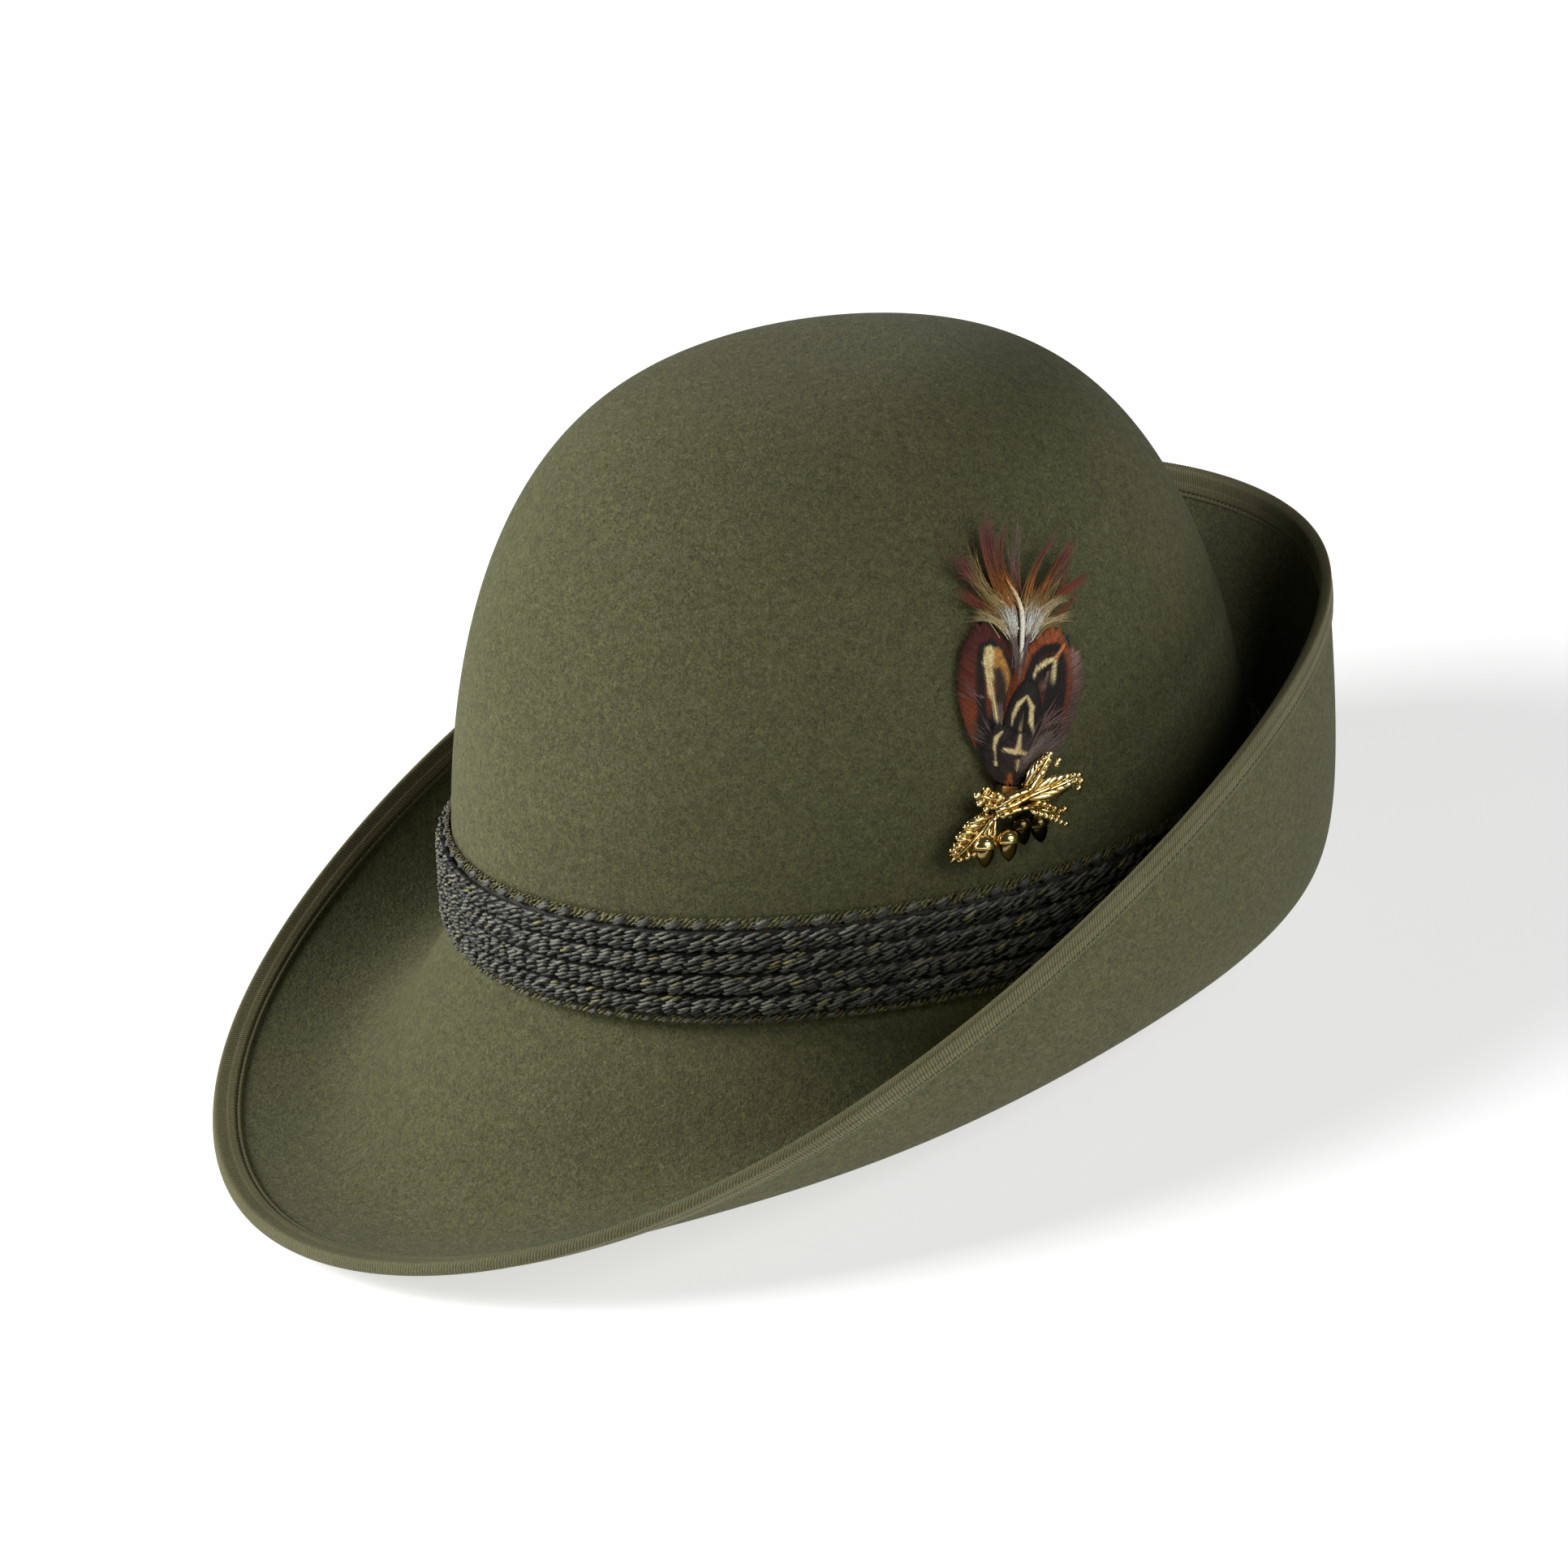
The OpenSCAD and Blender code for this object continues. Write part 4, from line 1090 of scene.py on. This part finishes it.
def clump(shape, rng, points, count, spread, layer, colours):
    """Barbs that gather towards one tip: points are its root, bend and tip, and colours run
    along it."""
    root, bend, tip = (np.array(p, float) for p in points)
    colours = np.array(colours)
    lag = rng.uniform(0, 0.6, count)[:, None]
    start = root + lag * 0.5 * (bend - root) + rng.normal(0, spread, (count, 2))
    middle = bend + rng.normal(0, 0.55 * spread, (count, 2))
    end = tip + lag * 0.9 * (bend - tip) + rng.normal(0, 0.8 * spread, (count, 2))
    z = layer + rng.uniform(-0.3, 0.5, count)

    def at(flat, lift):
        return np.concatenate([flat, (z + lift)[:, None]], 1)
    total = np.linalg.norm(tip - root)
    shade = rng.uniform(0.6, 1.35, (count, 1, 1))

    def paint(path):
        far = np.clip(np.linalg.norm(path[..., :2] - root, axis=-1) / total, 0, 1)
        stops = np.linspace(0, 1, len(colours))
        return shade * np.stack([np.interp(far, stops, colours[:, k]) for k in range(3)], -1)
    barbs(shape, at(start, 0.0), at(middle, 0.5), at(end, 0.9), 0.2, paint, 14)


WARM = srgb(134, 78, 42)
WARM_TO_PLUM = [CREAM * 0.8, SHAFT * 0.8, WARM, PLUM * 0.9, PLUM * 0.8]
OLIVE_TIP = [WHITE * 0.8, OLIVE, OLIVE * 0.8, OLIVE * 0.5]
OLIVE_TO_PLUM = [CREAM * 0.7, OLIVE * 1.1, OLIVE * 0.8, PLUM, PLUM * 0.7]
CREAM_TIP = [WHITE * 0.9, CREAM * 0.8, CREAM * 0.6, OLIVE * 0.8]
RUST_TO_PLUM = [WHITE * 0.7, OLIVE, WARM, srgb(140, 64, 54), MAROON * 1.3]


def finish_hackle(shape, rng, node, root, low, high, layer):
    """White fluff at the foot of the tuft, then the piece."""
    down_fan(shape, rng, root, low, high, 2.5, 6.5, layer + 0.5, 130, 1.1 * WHITE)
    shape.build(node + "_barbs", FEATHER_LOOK, "ornament", node, "feather_hackle", in_plume)


def hackle_left():
    """The tuft's left half: its own shaft, which bends left, and clumped spiky barbs."""
    shape = Shape()
    rng = np.random.default_rng(21)
    layer = 2.3
    quill = np.array([(-0.5, 7, 1.7), (-0.2, 24, 1.8), (0.2, 38, 2.6), (-0.4, 46.4, 3.4),
                      (-1.8, 50, 3.6), (-4.9, 54, 3.4)])
    u = np.linspace(0, 1, 60)
    path = np.stack([np.interp(u, np.linspace(0, 1, 6), quill[:, k]) for k in range(3)], -1)
    smooth = np.ones(9) / 9
    path[4:-4] = np.stack([np.convolve(path[:, k], smooth, "valid") for k in range(3)], -1)
    stops = np.array([DOWN * 0.5, DOWN * 0.6, WHITE, WHITE, CREAM, SHAFT])
    shade = np.stack([np.interp(u, [0, 0.36, 0.42, 0.6, 0.8, 1], stops[:, k]) for k in range(3)], -1)
    rings = tube(path, np.interp(u, [0, 0.6, 1], [0.5, 0.62, 0.2]), 8, UP, 0.7)
    shape.rod(rings, shade[:, None, :])

    def lock(points, count, spread, colours, lift=0.0):
        clump(shape, rng, points, count, spread, layer + lift, colours)

    lock([(-1.5, 46), (-4.5, 50), (-7.5, 55.5)], 57, 1.3, [SHAFT * 0.8, SHAFT * 0.7, RUST * 0.7], -0.2)
    lock([(-2.0, 47), (-11.3, 57), (-9.6, 69.4)], 57, 1.0, WARM_TO_PLUM)
    lock([(-2.0, 48), (-9.4, 58.5), (-8.0, 67.0)], 45, 1.0, WARM_TO_PLUM)
    lock([(-1.6, 49), (-8.0, 59), (-4.6, 67.0)], 20, 0.8, WARM_TO_PLUM)
    lock([(-1.2, 50), (-3.5, 57), (-4.9, 64.5)], 12, 0.9, [CHESTNUT, MAUVE * 0.7, MAUVE * 0.6])
    lock([(-1.0, 50), (-2.6, 60), (-1.1, 68.0)], 11, 0.6, [CHESTNUT, MAUVE * 0.7, MAUVE * 0.6])
    lock([(-2.6, 45.5), (-13, 52), (-18.6, 59.5)], 42, 1.2, OLIVE_TO_PLUM)
    lock([(-9, 52), (-17.5, 56.5), (-23.0, 59.3)], 6, 0.5, [OLIVE, PLUM * 0.6, MAROON])
    lock([(-2.6, 46.5), (-12.4, 53), (-13.8, 61.5)], 32, 1.1, OLIVE_TIP)
    lock([(-3, 45), (-12, 54), (-20.7, 54.4)], 7, 0.8, OLIVE_TO_PLUM)
    lock([(-2.6, 43.5), (-10.5, 47.5), (-18.1, 51.2)], 42, 1.1, RUST_TO_PLUM)
    lock([(-2.4, 42.5), (-8.5, 45.5), (-13.2, 46.2)], 32, 1.0, CREAM_TIP, 0.2)
    lock([(-1.6, 40), (-7, 45.5), (-15.4, 44.5)], 25, 0.7, CREAM_TIP, 0.3)
    lock([(-0.4, 33), (-1.4, 40), (-5.0, 45.5)], 75, 0.9, [DOWN * 0.8, DOWN, OLIVE], -0.2)
    finish_hackle(shape, rng, "hackle_left", (-2.4, 42.0), -42, -2, layer)


def hackle_right():
    """The tuft's right half."""
    shape = Shape()
    rng = np.random.default_rng(22)
    layer = 2.5

    def lock(points, count, spread, colours, lift=0.0):
        clump(shape, rng, points, count, spread, layer + lift, colours)

    lock([(0.6, 46), (1.2, 56), (9.5, 66.0)], 22, 0.6, WARM_TO_PLUM)
    lock([(1.0, 46), (2.0, 56), (6.8, 63.6)], 17, 0.6, WARM_TO_PLUM)
    lock([(2.0, 46), (6.0, 54.5), (14.2, 64.4)], 60, 1.0, WARM_TO_PLUM)
    lock([(2.6, 45), (8.1, 53.3), (13.0, 60.4)], 22, 0.8, OLIVE_TO_PLUM)
    lock([(3.0, 45), (9.5, 51), (11.5, 59.2)], 11, 0.7, [OLIVE, CHESTNUT, CHESTNUT * 0.7])
    lock([(2.8, 44), (9.0, 51.8), (18.2, 56.2)], 42, 0.9, RUST_TO_PLUM)
    lock([(2.6, 43.5), (7.0, 49.5), (11.2, 50.9)], 45, 0.9, CREAM_TIP, 0.2)
    lock([(2.4, 42.5), (8.0, 46.0), (13.4, 46.0)], 32, 0.8, CREAM_TIP, 0.2)
    lock([(2.2, 42), (7.0, 45.0), (11.0, 43.6)], 17, 0.7, OLIVE_TIP, 0.2)
    lock([(3.6, 43.5), (12.0, 48.0), (14.0, 53.2)], 12, 0.9, [OLIVE, RUST * 0.6, CHESTNUT * 0.7])
    lock([(1.2, 46), (3.0, 50), (4.4, 53)], 50, 1.2, [WHITE, OLIVE, CHESTNUT], -0.1)
    lock([(0.5, 34), (0.9, 40), (3.4, 46)], 50, 0.6, [DOWN * 0.8, DOWN, OLIVE], -0.2)
    finish_hackle(shape, rng, "hackle_right", (1.8, 42.0), -6, 38, layer)


# ---- Pin fittings ----


def fittings():
    """The pin's fittings keep their CAD shapes and get metal."""
    for node in ("badge_post", "feather_socket", "clutch_spring", "clutch_cap"):
        part = frame["nodes"][node]
        part.data.materials.clear()
        part.data.materials.append(BRASS_LOOK)


# ---- Stage, light and camera ----

VIEW_AZIMUTH, VIEW_ELEVATION, VIEW_ROLL = 66.386, 22.889, -5.019
VIEW_DISTANCE, VIEW_RIGHT, VIEW_UP = 1500.0, -18.853, 20.835
VIEW_LENS, VIEW_SENSOR = 140.6, 36.0
LIGHT_AIM, LIGHT_SIDE = 0.06, 1.0
KEY_LIGHT, FILL_LIGHT = (-1.85, 0.76, 0.2, 52), (1.15, 0.5, 1.5, 13.5)
FLOOR_REACH, FLOOR_GLOW, SKY_GLOW = 6.0, 0.62, 0.04


def camera_axes():
    """The camera's right, up and backward ways in the hat's frame."""
    az, el, roll = np.radians([VIEW_AZIMUTH, VIEW_ELEVATION, VIEW_ROLL])
    back = np.array([np.sin(az) * np.cos(el), -np.cos(az) * np.cos(el), np.sin(el)])
    level = np.array([np.cos(az), np.sin(az), 0])
    upright = np.cross(back, level)
    right = np.cos(roll) * level + np.sin(roll) * upright
    up = np.cos(roll) * upright - np.sin(roll) * level
    return np.array([right, up, back])


def matrix(axes, place):
    m = np.eye(4)
    m[:3, :3] = axes.T
    m[:3, 3] = place
    return Matrix(m.tolist())


def camera():
    axes = camera_axes()
    place = VIEW_DISTANCE * axes[2] + VIEW_RIGHT * axes[0] + VIEW_UP * axes[1]
    lens = bpy.data.cameras.new("camera")
    lens.lens = VIEW_LENS
    lens.sensor_width = VIEW_SENSOR
    made = bpy.data.objects.new("camera", lens)
    bpy.context.scene.collection.objects.link(made)
    made.matrix_world = matrix(axes @ hat_axes, in_hat(place))
    bpy.context.scene.camera = made


def softbox(name, right, up, back, power):
    """A square light that faces the hat: metres right, up and back of it as the camera sees it,
    and watts."""
    axes = camera_axes() @ hat_axes
    way = np.array([right, up, back]) @ axes
    place = LIGHT_AIM * UP + way
    facing = unit(way)
    side = unit(np.cross(UP, facing))
    light = bpy.data.lights.new(name, "AREA")
    light.shape = "RECTANGLE"
    light.size, light.size_y, light.energy = LIGHT_SIDE, LIGHT_SIDE, power
    made = bpy.data.objects.new(name, light)
    bpy.context.scene.collection.objects.link(made)
    made.matrix_world = matrix(np.array([side, np.cross(facing, side), facing]), place)


def stage():
    floor = bpy.data.meshes.new("floor")
    corners = [(FLOOR_REACH * x, FLOOR_REACH * y, 0) for x, y in ((-1, -1), (1, -1), (1, 1), (-1, 1))]
    floor.from_pydata(corners, [], [(0, 1, 2, 3)])
    n = Nodes("floor", roughness=0.9)
    n.shader.inputs["Emission Color"].default_value = (1, 1, 1, 1)
    n.shader.inputs["Emission Strength"].default_value = FLOOR_GLOW
    floor.materials.append(n.finish(n.ramp(n.noise(400, 2.0), (0.3, 0.66), (0.7, 0.68))))
    made = bpy.data.objects.new("floor", floor)
    bpy.context.scene.collection.objects.link(made)
    world = bpy.data.worlds.new("studio")
    world.use_nodes = True
    sky = world.node_tree.nodes["Background"].inputs
    sky["Color"].default_value = (1, 1, 1, 1)
    sky["Strength"].default_value = SKY_GLOW
    bpy.context.scene.world = world
    softbox("key", *KEY_LIGHT)
    softbox("fill", *FILL_LIGHT)
    bpy.context.scene.view_settings.view_transform = "Standard"


# ---- Everything ----

camera()
stage()
felt_body()
brim_binding()
binding_stitching()
for cord in (1, 2, 3, 4):
    band_cord(cord)
edging("looped_top_edging", "band_top_edging", BAND_TOP + EDGING / 2, EDGING, FLOAT_UNITS, 0.42, 5.2, 0.9)
edging("looped_bottom_edging", "band_bottom_edging", BAND_BOTTOM + EDGING / 2, 1.9, 124, 0.24, 2.8,
       0.45, 1.0)
band_backing()
band_keeper()
sweatband()
sweatband_reed()
sweatband_stitching()
sweatband_bow()
lining_side()
lining_tip()
oak_leaf_badge()
vane_feathers()
hackle_left()
hackle_right()
fittings()
